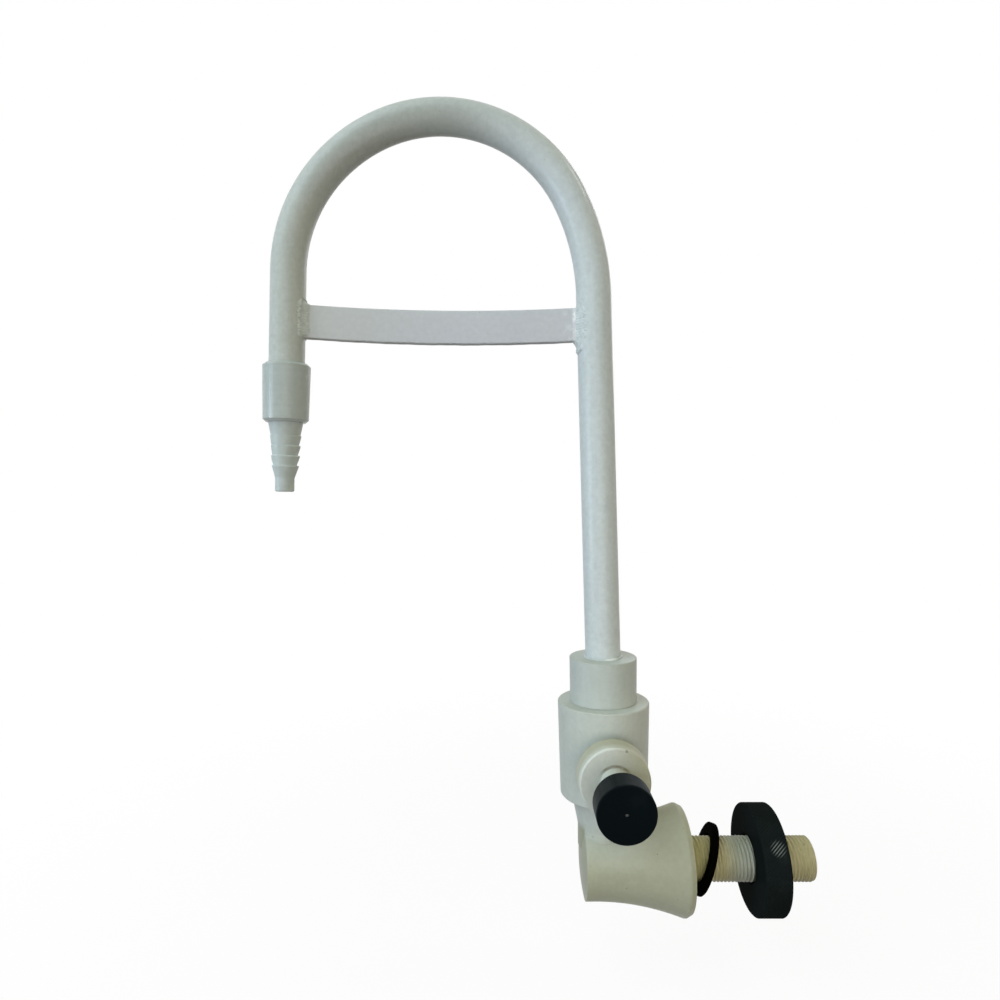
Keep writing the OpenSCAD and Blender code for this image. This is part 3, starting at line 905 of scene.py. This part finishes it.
@dataclass
class ValveHead:
    """Column, bonnet, knob and the works inside them."""

    column_top: float = 80.5
    column_edge: float = 1.0
    axis_z: float = 54.7
    head_r: float = 16.05
    head_back: float = -29.0
    tube_r: float = 7.9
    knob_r: float = 12.5

    def bonnet_finish(self) -> Material:
        """Make the bonnet's finish: painted shade towards +X, an olive side, and a painted highlight on
        its front edge.

        A brown ring darkens the top of the stem's tube, and painted shade lies behind the head, where it
        meets the column.

        Returns:
            The material.
        """
        head, tube, high, back = self.head_r, self.tube_r, self.axis_z, self.head_back
        brown, broken = (0.17, 0.13, 0.06), Noise(260.0, 3.0, 0.6)
        edge = Step(Line.KNOB, head - 0.4, head - 0.05, (head + 0.05, head + 0.4))
        ring = Step(Line.KNOB, tube - 1.0, tube - 0.2, (tube + 0.2, tube + 1.0))
        above = Step(Way.Z, high + 2.0, high + 7.0)
        return Milky(
            "bonnet_plastic", (0.655, 0.67, 0.62), (0.595, 0.605, 0.54), 0.45, Grain.ALONG_KNOB, 0.06,
            marks=(Mark((-34.9, -38.8, 69.3), 1.0, 0.8),),
            dirt=brown,
            coats=(
                # painted shade towards +X
                Patch((0.385, 0.37, 0.265), 1.0, (Step(Way.X, -47.0, -27.0),)),
                Patch((0.405, 0.40, 0.285), 0.45, (Step(Line.KNOB, head - 0.25, head + 0.35),), 0.6),
                # painted highlight on the head's front edge, strongest towards -X
                Patch((0.78, 0.80, 0.76), 0.22, (edge, Step(Way.X, -27.0, -47.0, least=0.5455))),
            ),
            grime=(
                Patch(brown, 0.7, (ring, above, Step(broken, 0.3, 0.6, least=0.45))),
                # painted shade behind the head, where it meets the column
                Patch(brown, 0.35, (Step(Way.Y, back - 1.3, back - 0.3), Step(broken, 0.3, 0.6))),
            ),
        ).make()

    def knob_finish(self) -> Material:
        """Make the knob's finish: its side is rubbed a little paler by fingers, in streaks along it.

        Returns:
            The material.
        """
        worn, rim = (0.017, 0.022, 0.023), self.knob_r
        streak = Step(Noise(1.0, 2.0, 0.5, Grain.ALONG_KNOB), 0.3, 0.7, least=0.4667)
        return Black(
            "knob_plastic", (0.0014, 0.0034, 0.0042), worn, gloss=0.02,
            rubbed=(Patch(worn, 0.75, (Step(Line.KNOB, rim - 0.5, rim - 0.05), streak)),),
        ).make()

    def build(self) -> None:
        """Dress the sub-assembly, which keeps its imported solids."""
        column = Milky(
            "column_plastic", (0.53, 0.56, 0.53), (0.495, 0.51, 0.44), 0.4, Grain.ALONG_Z, 0.07,
            marks=(Mark((-55.3, 0.5, 80.2), 1.1, 0.35),),
            # painted shade on the column's rounded top edge
            grime=(top_edge_shade(self.column_top, self.column_edge),),
        ).make()
        inner = Milky(
            "inner_plastic", (0.66, 0.68, 0.64), (0.62, 0.62, 0.54), 0.3, Grain.EVEN, 0.05, specks=0.2,
            marks=(Mark((-40.0, -67.6, 54.7), 3.0, 0.93, (0.02, 0.024, 0.026), 0.1),),
        ).make()
        dress(column, "valve_body")
        dress(self.bonnet_finish(), "bonnet")
        dress(self.knob_finish(), "knob")
        dress(inner, "spindle", "jumper", "jumper_nut", "valve_seat", "riser_nipple", "swivel_clip")
        dress(
            Rubber("seal_rubber").make(), "spindle_o_rings", "jumper_washer", "bonnet_gasket",
            "riser_o_ring", "swivel_o_rings", "nozzle_seal",
        )


@dataclass(frozen=True)
class Fillet:
    """A weld round the brace's end: its reach along the brace and along the leg, in mm.

    Each reach is given for the brace's two sides, its top edge and its bottom edge.
    """

    out: tuple[float, float, float]
    away: tuple[float, float, float]
    lip: float
    phase: float


@dataclass
class Gooseneck:
    """Collar, bent pipe, brace with its welds, and the hose nozzle."""

    column_x: float = -40.0
    collar_top: float = 102.4
    collar_edge: float = 0.6
    inlet_lean: float = 1.15
    outlet_lean: float = 1.7
    inlet_leg: float = 180.6
    outlet_leg: float = 46.6
    rise_r: float = 115.0
    rise_angle: float = 25.5
    bend_r: float = 72.2
    fall_r: float = 78.0
    fall_angle: float = 65.0
    pipe_r: float = 8.75
    bore_r: float = 6.75
    pipe_foot: float = 15.3
    pipe_sink: float = 13.8
    flattening: float = 0.12
    brace_h: float = 16.4
    brace_t: float = 5.0
    brace_sag: float = 2.8
    brace_edge: float = 0.7
    brace_sink: float = 1.2
    inlet_drop: float = 14.6
    outlet_drop: float = 25.0
    weld_inset: float = 0.05
    weld_edge: float = 1.5
    bead_r: float = 0.6
    bead_out: float = 0.3
    bead_up: float = 0.12
    socket_len: float = 29.5
    nozzle_r: float = 8.3
    nozzle_sink: float = 18.5
    barbs: int = 4
    barb_pitch: float = 5.0
    barb_r: float = 7.7
    barb_step: float = 0.4
    barb_land: float = 0.4
    barb_lead: float = 0.3
    barb_depth: float = 1.15
    barb_neck: float = 6.6
    barb_left: tuple[float, ...] = (0.45, 0.15, 1.05, 0.50)
    barb_right: tuple[float, ...] = (0.9, 1.25, 1.7, 1.3)
    neck_step: float = 0.5
    worn_step: float = 0.45
    tip_r: float = 4.65
    tip_gap: float = 1.2
    tip_len: float = 6.8
    tip_bevel: float = 0.5
    nozzle_bore_r: float = 2.8
    nozzle_edge: float = 0.6
    inlet_weld: Fillet = Fillet((1.1, 0.4, 2.1), (5.5, 0.9, 6.6), 0.32, 0.8)
    outlet_weld: Fillet = Fillet((3.3, 2.1, 0.8), (3.6, 2.2, 0.9), 0.26, 2.1)
    foot: np.ndarray = field(init=False)
    up: np.ndarray = field(init=False)
    down: np.ndarray = field(init=False)
    leg_end: np.ndarray = field(init=False)
    bend_line: np.ndarray = field(init=False)
    bend_side: np.ndarray = field(init=False)
    bend_end: np.ndarray = field(init=False)

    def __post_init__(self) -> None:
        """Work out the legs' directions and the bend's middle line, as X and Z pairs.

        The bend is three arcs, each tangent to the last. At a heading h the outward side is
        (cos h, sin h), and an arc of radius r that starts at the place P with the heading g passes
        through P + r (cos h - cos g, sin h - sin g).
        """
        lean, out = math.radians(self.inlet_lean), math.radians(self.outlet_lean)
        self.up = np.array([-math.sin(lean), math.cos(lean)])
        self.down = np.array([-math.sin(out), -math.cos(out)])
        self.foot = np.array([self.column_x, self.collar_top])
        self.leg_end = self.foot + self.inlet_leg * self.up
        rise, fall = math.radians(self.rise_angle), math.radians(self.fall_angle)
        heads = (lean, lean + rise, math.pi - out - fall, math.pi - out)
        lines, sides, place = [], [], self.leg_end
        for radius, start, stop in zip((self.rise_r, self.bend_r, self.fall_r), heads, heads[1:]):
            head = np.linspace(start, stop, 48)[:, None]
            side = np.concatenate((np.cos(head), np.sin(head)), axis=1)
            line = place + radius * (side - side[0])
            lines.append(line[:-1])
            sides.append(side[:-1])
            place = line[-1]
        self.bend_line, self.bend_side = np.concatenate(lines), np.concatenate(sides)
        self.bend_end = place

    def path(self) -> tuple[np.ndarray, np.ndarray, np.ndarray]:
        """Follow the pipe from its foot to its end.

        Returns:
            The middle line as X and Z pairs, its outward side as X and Z pairs, and how far each
            point is into the bend, from 0 on the legs to 1 at the top.
        """
        s = np.linspace(-self.pipe_foot, self.inlet_leg, 90, endpoint=False)[:, None]
        t = np.linspace(0.0, self.outlet_leg + self.pipe_sink, 31)[:, None]
        line = np.concatenate((self.foot + s * self.up, self.bend_line, self.bend_end + t * self.down))
        rise, fall = np.array([self.up[1], -self.up[0]]), np.array([self.down[1], -self.down[0]])
        side = np.concatenate((0 * s + rise, self.bend_side, 0 * t + fall))
        bent = np.concatenate((0 * s[:, 0], self.bend_side[:, 1], 0 * t[:, 0]))
        return line, side, bent

    def pipe(self) -> Piece:
        """Build the bent pipe.

        A circle is carried along the middle line with its first axis on the outward side and its
        second on Y; in the bend its outer side is drawn in by the flattening times the square of
        how far the point is into the bend. The bore runs back, and the two ends close the loop.

        Returns:
            The piece.
        """
        line, side, bent = self.path()
        angle = angles(72)
        outward = np.maximum(np.cos(angle), 0.0) ** 2
        outer = self.pipe_r - self.flattening * bent[:, None] ** 2 * outward
        radius = np.concatenate((outer, np.full_like(outer, self.bore_r)))
        line, side = np.concatenate((line, line[::-1])), np.concatenate((side, side[::-1]))
        flat = line[:, None] + (radius * np.cos(angle))[..., None] * side[:, None]
        shell = Shell("bent_spout_pipe", upright(flat, radius * np.sin(angle)))
        return shell.build(Body.SPOUT, Slot.NATURAL, "spout_pipe")

    def brace_ends(self) -> tuple[np.ndarray, np.ndarray]:
        """Find where the brace's middle line meets the legs' axes.

        Returns:
            The place on the inlet leg and the place on the outlet leg, as X and Z pairs.
        """
        inlet = self.leg_end - self.up * self.inlet_drop / self.up[1]
        outlet = self.bend_end - self.down * self.outlet_drop / self.down[1]
        return inlet, outlet

    def brace(self) -> Piece:
        """Build the brace.

        A softened rectangle is carried along a shallow arc between the legs' axes, cut off just
        inside the legs' skin, with slow waves on its sawn edges.

        Returns:
            The piece.
        """
        inlet, outlet = self.brace_ends()
        chord = float(np.linalg.norm(inlet - outlet))
        along = (inlet - outlet) / chord
        above = np.array([-along[1], along[0]])
        radius = chord**2 / (8.0 * self.brace_sag) + self.brace_sag / 2.0
        reach = chord / 2.0 - self.pipe_r + self.brace_sink
        x = np.linspace(-reach, reach, 140)[:, None]
        centre = (inlet + outlet) / 2.0 + (radius - self.brace_sag) * above
        loop = soft_box(self.brace_h, self.brace_t, self.brace_edge)
        low = np.maximum(-2.0 * loop[:, 0] / self.brace_h, 0.0) ** 4
        wobble = 0.05 * np.sin(0.31 * x + 0.4) + 0.03 * np.sin(0.83 * x + 2.0)
        spoke = (x / radius) * along - np.sqrt(1.0 - (x / radius) ** 2) * above
        flat = centre + (radius - loop[:, 0] - wobble * low)[..., None] * spoke[:, None]
        shell = Shell("brace_bar", upright(flat, loop[:, 1]), ring=False)
        return shell.build(Body.SPOUT, Slot.NATURAL, "brace_strap")

    def fillet_loop(self, at: np.ndarray, leg: np.ndarray, towards: float, weld: Fillet) -> np.ndarray:
        """Lay a weld round the end of the brace, on the skin of a leg.

        The brace's outline is followed at even steps. At each step a hollow-faced section with a
        raised outer lip lies between the brace (p, along it) and the leg (q, along its skin, away
        from the brace). Its place is the outline moved q along the skin, wrapped on the pipe, plus
        p along the brace. The reaches of p and q swell in lumps and change from side to edge by the
        square of the outline's normal. Below the brace the weld narrows as it runs down.

        Args:
            at: where the brace meets the leg's axis, as X and Z.
            leg: the leg's direction, upwards.
            towards: 1 where the brace lies towards +X, otherwise -1.
            weld: the weld's sizes.

        Returns:
            Points in mm, rows by columns by 3.
        """
        inset = 2.0 * self.weld_inset
        edge = even_loop(soft_box(self.brace_t - inset, self.brace_h - inset, self.weld_edge), 260)
        step = np.roll(edge, -1, axis=0) - np.roll(edge, 1, axis=0)
        normal = np.stack((step[:, 1], -step[:, 0]), axis=-1) / np.linalg.norm(step, axis=1)[:, None]
        top, foot = np.maximum(normal[:, 1], 0.0) ** 2, np.maximum(-normal[:, 1], 0.0) ** 2
        shares = np.stack((normal[:, 0] ** 2, top, foot), axis=-1)
        phase = weld.phase
        waves = ((3, 0.07, phase), (7, 0.08, 1.7 + phase), (17, 0.08, 0.6), (31, 0.06, 2.2 * phase))
        swell = 1.0 + lumps(angles(len(edge)), waves)
        out_reach = (shares @ np.array(weld.out) * swell)[:, None]
        away_reach = (shares @ np.array(weld.away) * swell[::-1])[:, None]
        section = soft_loop(
            [(1.0, 0.0), (0.40, 0.36), (0.10, 0.70), (0.08 + weld.lip, 0.86), (0.0, 1.06), (-0.35, 0.9),
             (-0.35, -0.25), (1.0, -0.25)],
            [0.04, 0.16, 0.08, 0.07, 0.06, 0.1, 0.1, 0.04],
            4,
        )
        p, q = section[:, 0] * out_reach, section[:, 1] * away_reach
        narrow = 1.0 - 0.55 * foot[:, None] * np.clip(section[:, 1], 0.0, 1.0)
        wrap = np.arcsin(edge[:, :1] / self.pipe_r) * narrow + q * normal[:, :1] / self.pipe_r
        out, across = towards * (self.pipe_r * np.cos(wrap) + p), self.pipe_r * np.sin(wrap)
        return on_leg(at, leg, out, across, edge[:, 1:] + q * normal[:, 1:])

    def foot_bead(self) -> np.ndarray:
        """Lay a bead of weld round the pipe's foot, on the collar.

        A circle is carried round the pipe just above the collar, with lumps in its radius.

        Returns:
            Points in mm, rows by columns by 3.
        """
        turn, spin = angles(160)[:, None], angles(14)
        waves = ((4, 0.07, 0.2), (11, 0.07, 1.1), (23, 0.05, 2.3))
        thick = self.bead_r * (1.0 + lumps(turn, waves))
        ring = self.pipe_r + self.bead_out + thick * np.cos(spin)
        high = self.bead_up + 0.9 * thick * np.sin(spin)
        return on_leg(self.foot, self.up, ring * np.cos(turn), ring * np.sin(turn), high)

    def welds(self) -> Piece:
        """Build the beads of weld at the brace's ends and at the pipe's foot as one piece.

        Returns:
            The piece.
        """
        inlet, outlet = self.brace_ends()
        shell = Shell(
            "weld_bead_set",
            self.fillet_loop(inlet, self.up, -1.0, self.inlet_weld),
            self.fillet_loop(outlet, -self.down, 1.0, self.outlet_weld),
            self.foot_bead(),
        )
        return shell.build(Body.SPOUT, Slot.WHITE, "weld_beads", sharp=80.0)

    def nozzle(self) -> Piece:
        """Build the barbed hose nozzle.

        The outline of half the nozzle, with its barbs' edges softened, is carried round the outlet
        leg's axis. The barbs stand out at the two sides and are worn to a plain taper at front and
        back: the radius is the taper plus the barb times the wear, which falls with the cosine of
        the angle from the side and is set for each barb on the left and on the right.

        Returns:
            The piece.
        """
        lead, bore, tip_r = self.barb_lead, self.nozzle_bore_r, self.tip_r
        top, end = self.outlet_leg + self.nozzle_sink, self.outlet_leg + self.socket_len
        first = end + self.barb_neck
        start = first + self.barbs * self.barb_pitch + self.tip_gap
        tip, neck_r, edge = start + self.tip_len, self.barb_r - self.neck_step, self.nozzle_edge
        corners = [(bore, top), (self.nozzle_r, top), (self.nozzle_r, end + edge), (neck_r, first - lead)]
        cuts = [0.1, 0.2, 0.3, 0.12]
        places = first + self.barb_pitch * np.arange(self.barbs)
        radii = self.barb_r - self.barb_step * np.arange(self.barbs)
        for at, radius in zip(places, radii):
            low = (radius - self.barb_depth, at + self.barb_pitch - lead)
            corners += [(radius, at), (radius, at + self.barb_land), low]
            cuts += [0.12, 0.18, 0.12]
        corners[-1], cuts[-1] = (tip_r, start), 0.6
        corners += [(tip_r, tip - self.tip_bevel), (tip_r - self.tip_bevel, tip)]
        corners += [(bore + edge, tip), (bore, tip - edge)]
        cuts += [0.2, 0.2, 0.15, 0.15]
        loop = soft_loop(corners, cuts, 4)
        radius, down = loop[:, :1], loop[:, 1:]
        angle, outside = angles(112), loop[:, :1] > bore + 1.0
        wave = lumps(angle, ((2, 0.05, 0.5), (5, 0.03, 1.2), (13, 0.02, 0.3))) - 0.05
        middles = places + 0.3 * self.barb_pitch
        left, right = (np.interp(down, middles, wear) for wear in (self.barb_left, self.barb_right))
        side = np.abs(np.cos(angle)) ** 1.6
        kept = 0.10 + 0.90 * side * np.where(np.cos(angle) > 0.0, right, left)
        ends = [first - lead, places[-1], start]
        taper = np.interp(down, ends, [neck_r, radii[-1] - self.worn_step, tip_r])
        toothed = (down > ends[0]) * (down < start) * outside
        radius = radius + toothed * (taper - radius) * (1.0 - kept)
        radius = radius + np.clip((down - end) / 6.0, 0.0, 1.0) * outside * wave
        out, across = radius * np.cos(angle), radius * np.sin(angle)
        shell = Shell("barbed_nozzle", on_leg(self.bend_end, -self.down, out, across, -down))
        return shell.build(Body.SPOUT, Slot.NATURAL, "hose_nozzle", sharp=50.0)

    def brace_finish(self) -> Material:
        """Make the brace's finish: greyer towards the outlet leg, partly as painted shade, and paler near
        a pale line at the inlet leg's weld.

        Returns:
            The material.
        """
        pale_streak, rough = (0.86, 0.88, 0.90), (Noise(330.0, 4.0, 0.65), 0.46, 0.66)
        line_from, line_to = -54.9, -53.9
        towards_line = Step(Way.X, -63.0, line_from, (line_from, line_to))
        return Milky(
            "brace_plastic", (0.565, 0.575, 0.61), (0.52, 0.515, 0.495), 0.12, Grain.ALONG_X, 0.08,
            roughness=0.55,
            specks=0.35,
            clouding=0.6,
            # greyer towards the outlet leg: partly age, partly painted shade
            aged_and_shaded=Step(Way.X, -90.0, -190.0),
            more=0.8,
            coats=(
                # paler towards a pale line by the inlet leg's weld
                Patch(pale_streak, 0.3, (towards_line, Step(*rough))),
                Patch(pale_streak, 1.0, (Step(Way.X, line_from, line_to), Step(*rough, least=0.35))),
            ),
        ).make()

    def build(self) -> None:
        """Build the new pieces and dress the sub-assembly.

        The pipe and its welds are darker towards the outlet, partly from age and partly as painted shade,
        and carry painted shade inside the bend.
        """
        # painted shade inside the bend, strongest on its inner side
        inside = Step(Line.BEND, 81.0, 65.0, least=0.25)
        in_bend = (Step(Way.Z, 300.0, 375.0), Step(Way.X, -70.0, -120.0), inside)
        bent = {
            "clouding": 0.5,
            # darker towards the outlet: partly age, partly painted shade
            "aged_and_shaded": Step(Way.X, -75.0, -185.0),
            "more": 0.65,
            "coats": (Patch((0.40, 0.415, 0.38), 1.0, in_bend),),
        }
        pipe = Milky(
            "pipe_plastic", (0.575, 0.615, 0.615), (0.475, 0.487, 0.43), 0.1, Grain.ALONG_Z, 0.06,
            roughness=0.30, specks=0.35, mottling=0.30, **bent,
        ).make()
        weld = Milky(
            "weld_plastic", (0.58, 0.62, 0.615), (0.47, 0.485, 0.43), 0.1, Grain.EVEN, 0.10,
            roughness=0.34,
            marks=(
                Mark((-51.4, -2.6, 255.2), 0.7, 0.6),
                # painted highlight on the front of the bead at the pipe's foot
                Mark((-37.2, -8.6, 102.5), 4.2, 0.8, (0.90, 0.91, 0.88), 0.3),
            ),
            mottling=0.6, **bent,
        ).make()
        collar = Milky(
            "collar_plastic", (0.49, 0.525, 0.50), (0.455, 0.48, 0.43), 0.45, Grain.ALONG_Z, 0.06,
            # painted shade on the collar's rounded top edge
            grime=(top_edge_shade(self.collar_top, self.collar_edge),),
        ).make()
        outlet = Milky(
            "outlet_plastic", (0.45, 0.488, 0.465), (0.415, 0.445, 0.41), 0.45, Grain.ROUND_Z, 0.12,
            roughness=0.24, gloss=0.3,
        ).make()
        barbed = Milky(
            "nozzle_plastic", (0.535, 0.575, 0.555), (0.49, 0.53, 0.50), 0.45, Grain.EVEN, 0.08,
            marks=(Mark((-197.8, -6.5, 198.35), 0.8, 0.7),), under=0.6, under_depth=4.0,
        ).make()
        dress(collar, "spout_socket")
        dress(outlet, "nozzle_socket")
        dress(pipe, self.pipe())
        dress(self.brace_finish(), self.brace())
        dress(weld, self.welds())
        dress(barbed, self.nozzle())


# Studio


@dataclass
class Lamp:
    """A square soft light: where it stands, its side and power, and its colour."""

    name: str
    place: Place
    side: float
    power: float
    colour: Colour = WHITE

    def light(self, target: Place) -> None:
        """Make the lamp and aim it.

        Args:
            target: the place that it faces, in metres.
        """
        data = bpy.data.lights.new(self.name, "AREA")
        data.shape, data.size, data.energy, data.color = "SQUARE", self.side, self.power, self.colour
        lamp = bpy.data.objects.new(self.name, data)
        lamp.location = self.place
        lamp.rotation_euler = (Vector(target) - Vector(self.place)).to_track_quat("-Z", "Y").to_euler()
        lamp.visible_camera = False
        bpy.context.scene.collection.objects.link(lamp)


@dataclass
class Studio:
    """Camera, floor and light, in metres and degrees."""

    camera_at: Place = (-0.087117, -0.338724, 0.186291)
    yaw: float = 0.664249
    pitch: float = -0.863367
    roll: float = 0.434948
    lens: float = 24.336
    sensor: float = 36.0
    floor_z: float = -0.055
    floor_side: float = 6.0
    floor_white: float = 0.93
    floor_bounce: Colour = (0.12, 0.11, 0.08)
    floor_pale: tuple[Colour, Colour] = ((0.86, 0.86, 0.86), (0.92, 0.92, 0.92))
    shadow_xy: tuple[float, float] = (-20.0, 40.0)
    shadow_reach: tuple[float, float] = (100.0, 500.0)
    target: Place = (-0.08, 0.0, 0.17)
    ambient: Colour = (0.242, 0.216, 0.102)
    lamps: tuple[Lamp, ...] = (
        Lamp("key", (-0.738, -0.514, 1.166), 1.0, 8.8, (0.80, 1.0, 1.12)),
        Lamp("left", (-1.258, -0.549, 0.170), 0.45, 5.1, (0.82, 1.0, 1.29)),
        Lamp("near", (0.020, -0.480, 0.170), 0.35, 0.46, (0.98, 1.0, 1.0)),
        Lamp("low", (0.000, -0.440, 0.020), 0.35, 0.64, (1.0, 1.0, 0.98)),
        Lamp("front", (-0.080, -1.300, 0.170), 0.8, 1.5, (1.0, 1.0, 1.13)),
        Lamp("rim", (0.664, 0.060, 1.106), 0.2, 1.5),
        Lamp("back", (0.450, 0.950, 0.750), 0.75, 2.5, (0.95, 1.0, 1.08)),
    )

    def camera(self) -> None:
        """Make the camera, facing Y: it is turned about Z, tipped about X and rolled about its view."""
        turn = Matrix.Identity(3)
        for angle, axis in ((self.yaw, "Z"), (self.pitch, "X"), (self.roll, "Y"), (90.0, "X")):
            turn = turn @ Matrix.Rotation(math.radians(angle), 3, axis)
        data = bpy.data.cameras.new("photo_view")
        data.lens, data.sensor_width, data.clip_start = self.lens, self.sensor, 0.01
        camera = bpy.data.objects.new("photo_view", data)
        camera.matrix_world = Matrix.LocRotScale(Vector(self.camera_at), turn, None)
        bpy.context.scene.collection.objects.link(camera)
        bpy.context.scene.camera = camera

    def world(self) -> None:
        """Light the scene evenly, and show white to the camera, to gloss and through clear things."""
        world = bpy.data.worlds.new("white_room")
        bpy.context.scene.world = world
        graph = Graph(world)
        soft = graph.add("ShaderNodeBackground", {"Color": self.ambient})
        white = graph.add("ShaderNodeBackground", {"Color": WHITE})
        graph.finish(graph.add("ShaderNodeMixShader", {0: graph.seen(), 1: soft, 2: white}))

    def floor(self) -> None:
        """Lay a floor that looks pale, keeps the shadow near the tap and throws little light back."""
        half = self.floor_side / 2.0
        corners = ((-half, -half), (half, -half), (half, half), (-half, half))
        mesh = bpy.data.meshes.new("floor")
        mesh.from_pydata([(x, y, self.floor_z) for x, y in corners], [], [(0, 1, 2, 3)])
        floor = bpy.data.objects.new("floor", mesh)
        bpy.context.scene.collection.objects.link(floor)
        graph = Graph(bpy.data.materials.new("pale_floor"))
        seen = graph.seen()
        pale = graph.mix(graph.noise(Noise(60.0, 3.0)), *self.floor_pale)
        plain = graph.add("ShaderNodeBsdfDiffuse", {"Color": graph.mix(seen, self.floor_bounce, pale)})
        white = graph.add("ShaderNodeEmission", {"Color": WHITE, "Strength": 1.0})
        far = graph.distance((*self.shadow_xy, self.floor_z / MM)).rise(*self.shadow_reach)
        share = seen * (self.floor_white + far * (1.0 - self.floor_white))
        graph.finish(graph.add("ShaderNodeMixShader", {0: share, 1: plain, 2: white}))
        mesh.materials.append(graph.owner)

    def build(self) -> None:
        """Set up the view, the light and the floor."""
        bpy.context.scene.view_settings.view_transform = "Standard"
        self.camera()
        self.world()
        self.floor()
        for lamp in self.lamps:
            lamp.light(self.target)


def main() -> None:
    """Build the studio and the tap's sub-assemblies in order."""
    logging.basicConfig(level=logging.INFO, format="%(name)s: %(message)s")
    for part in (Studio(), WallMount(), ValveHead(), Gooseneck()):
        log.info("building %s", type(part).__name__)
        part.build()


if __name__ == "__main__":
    main()
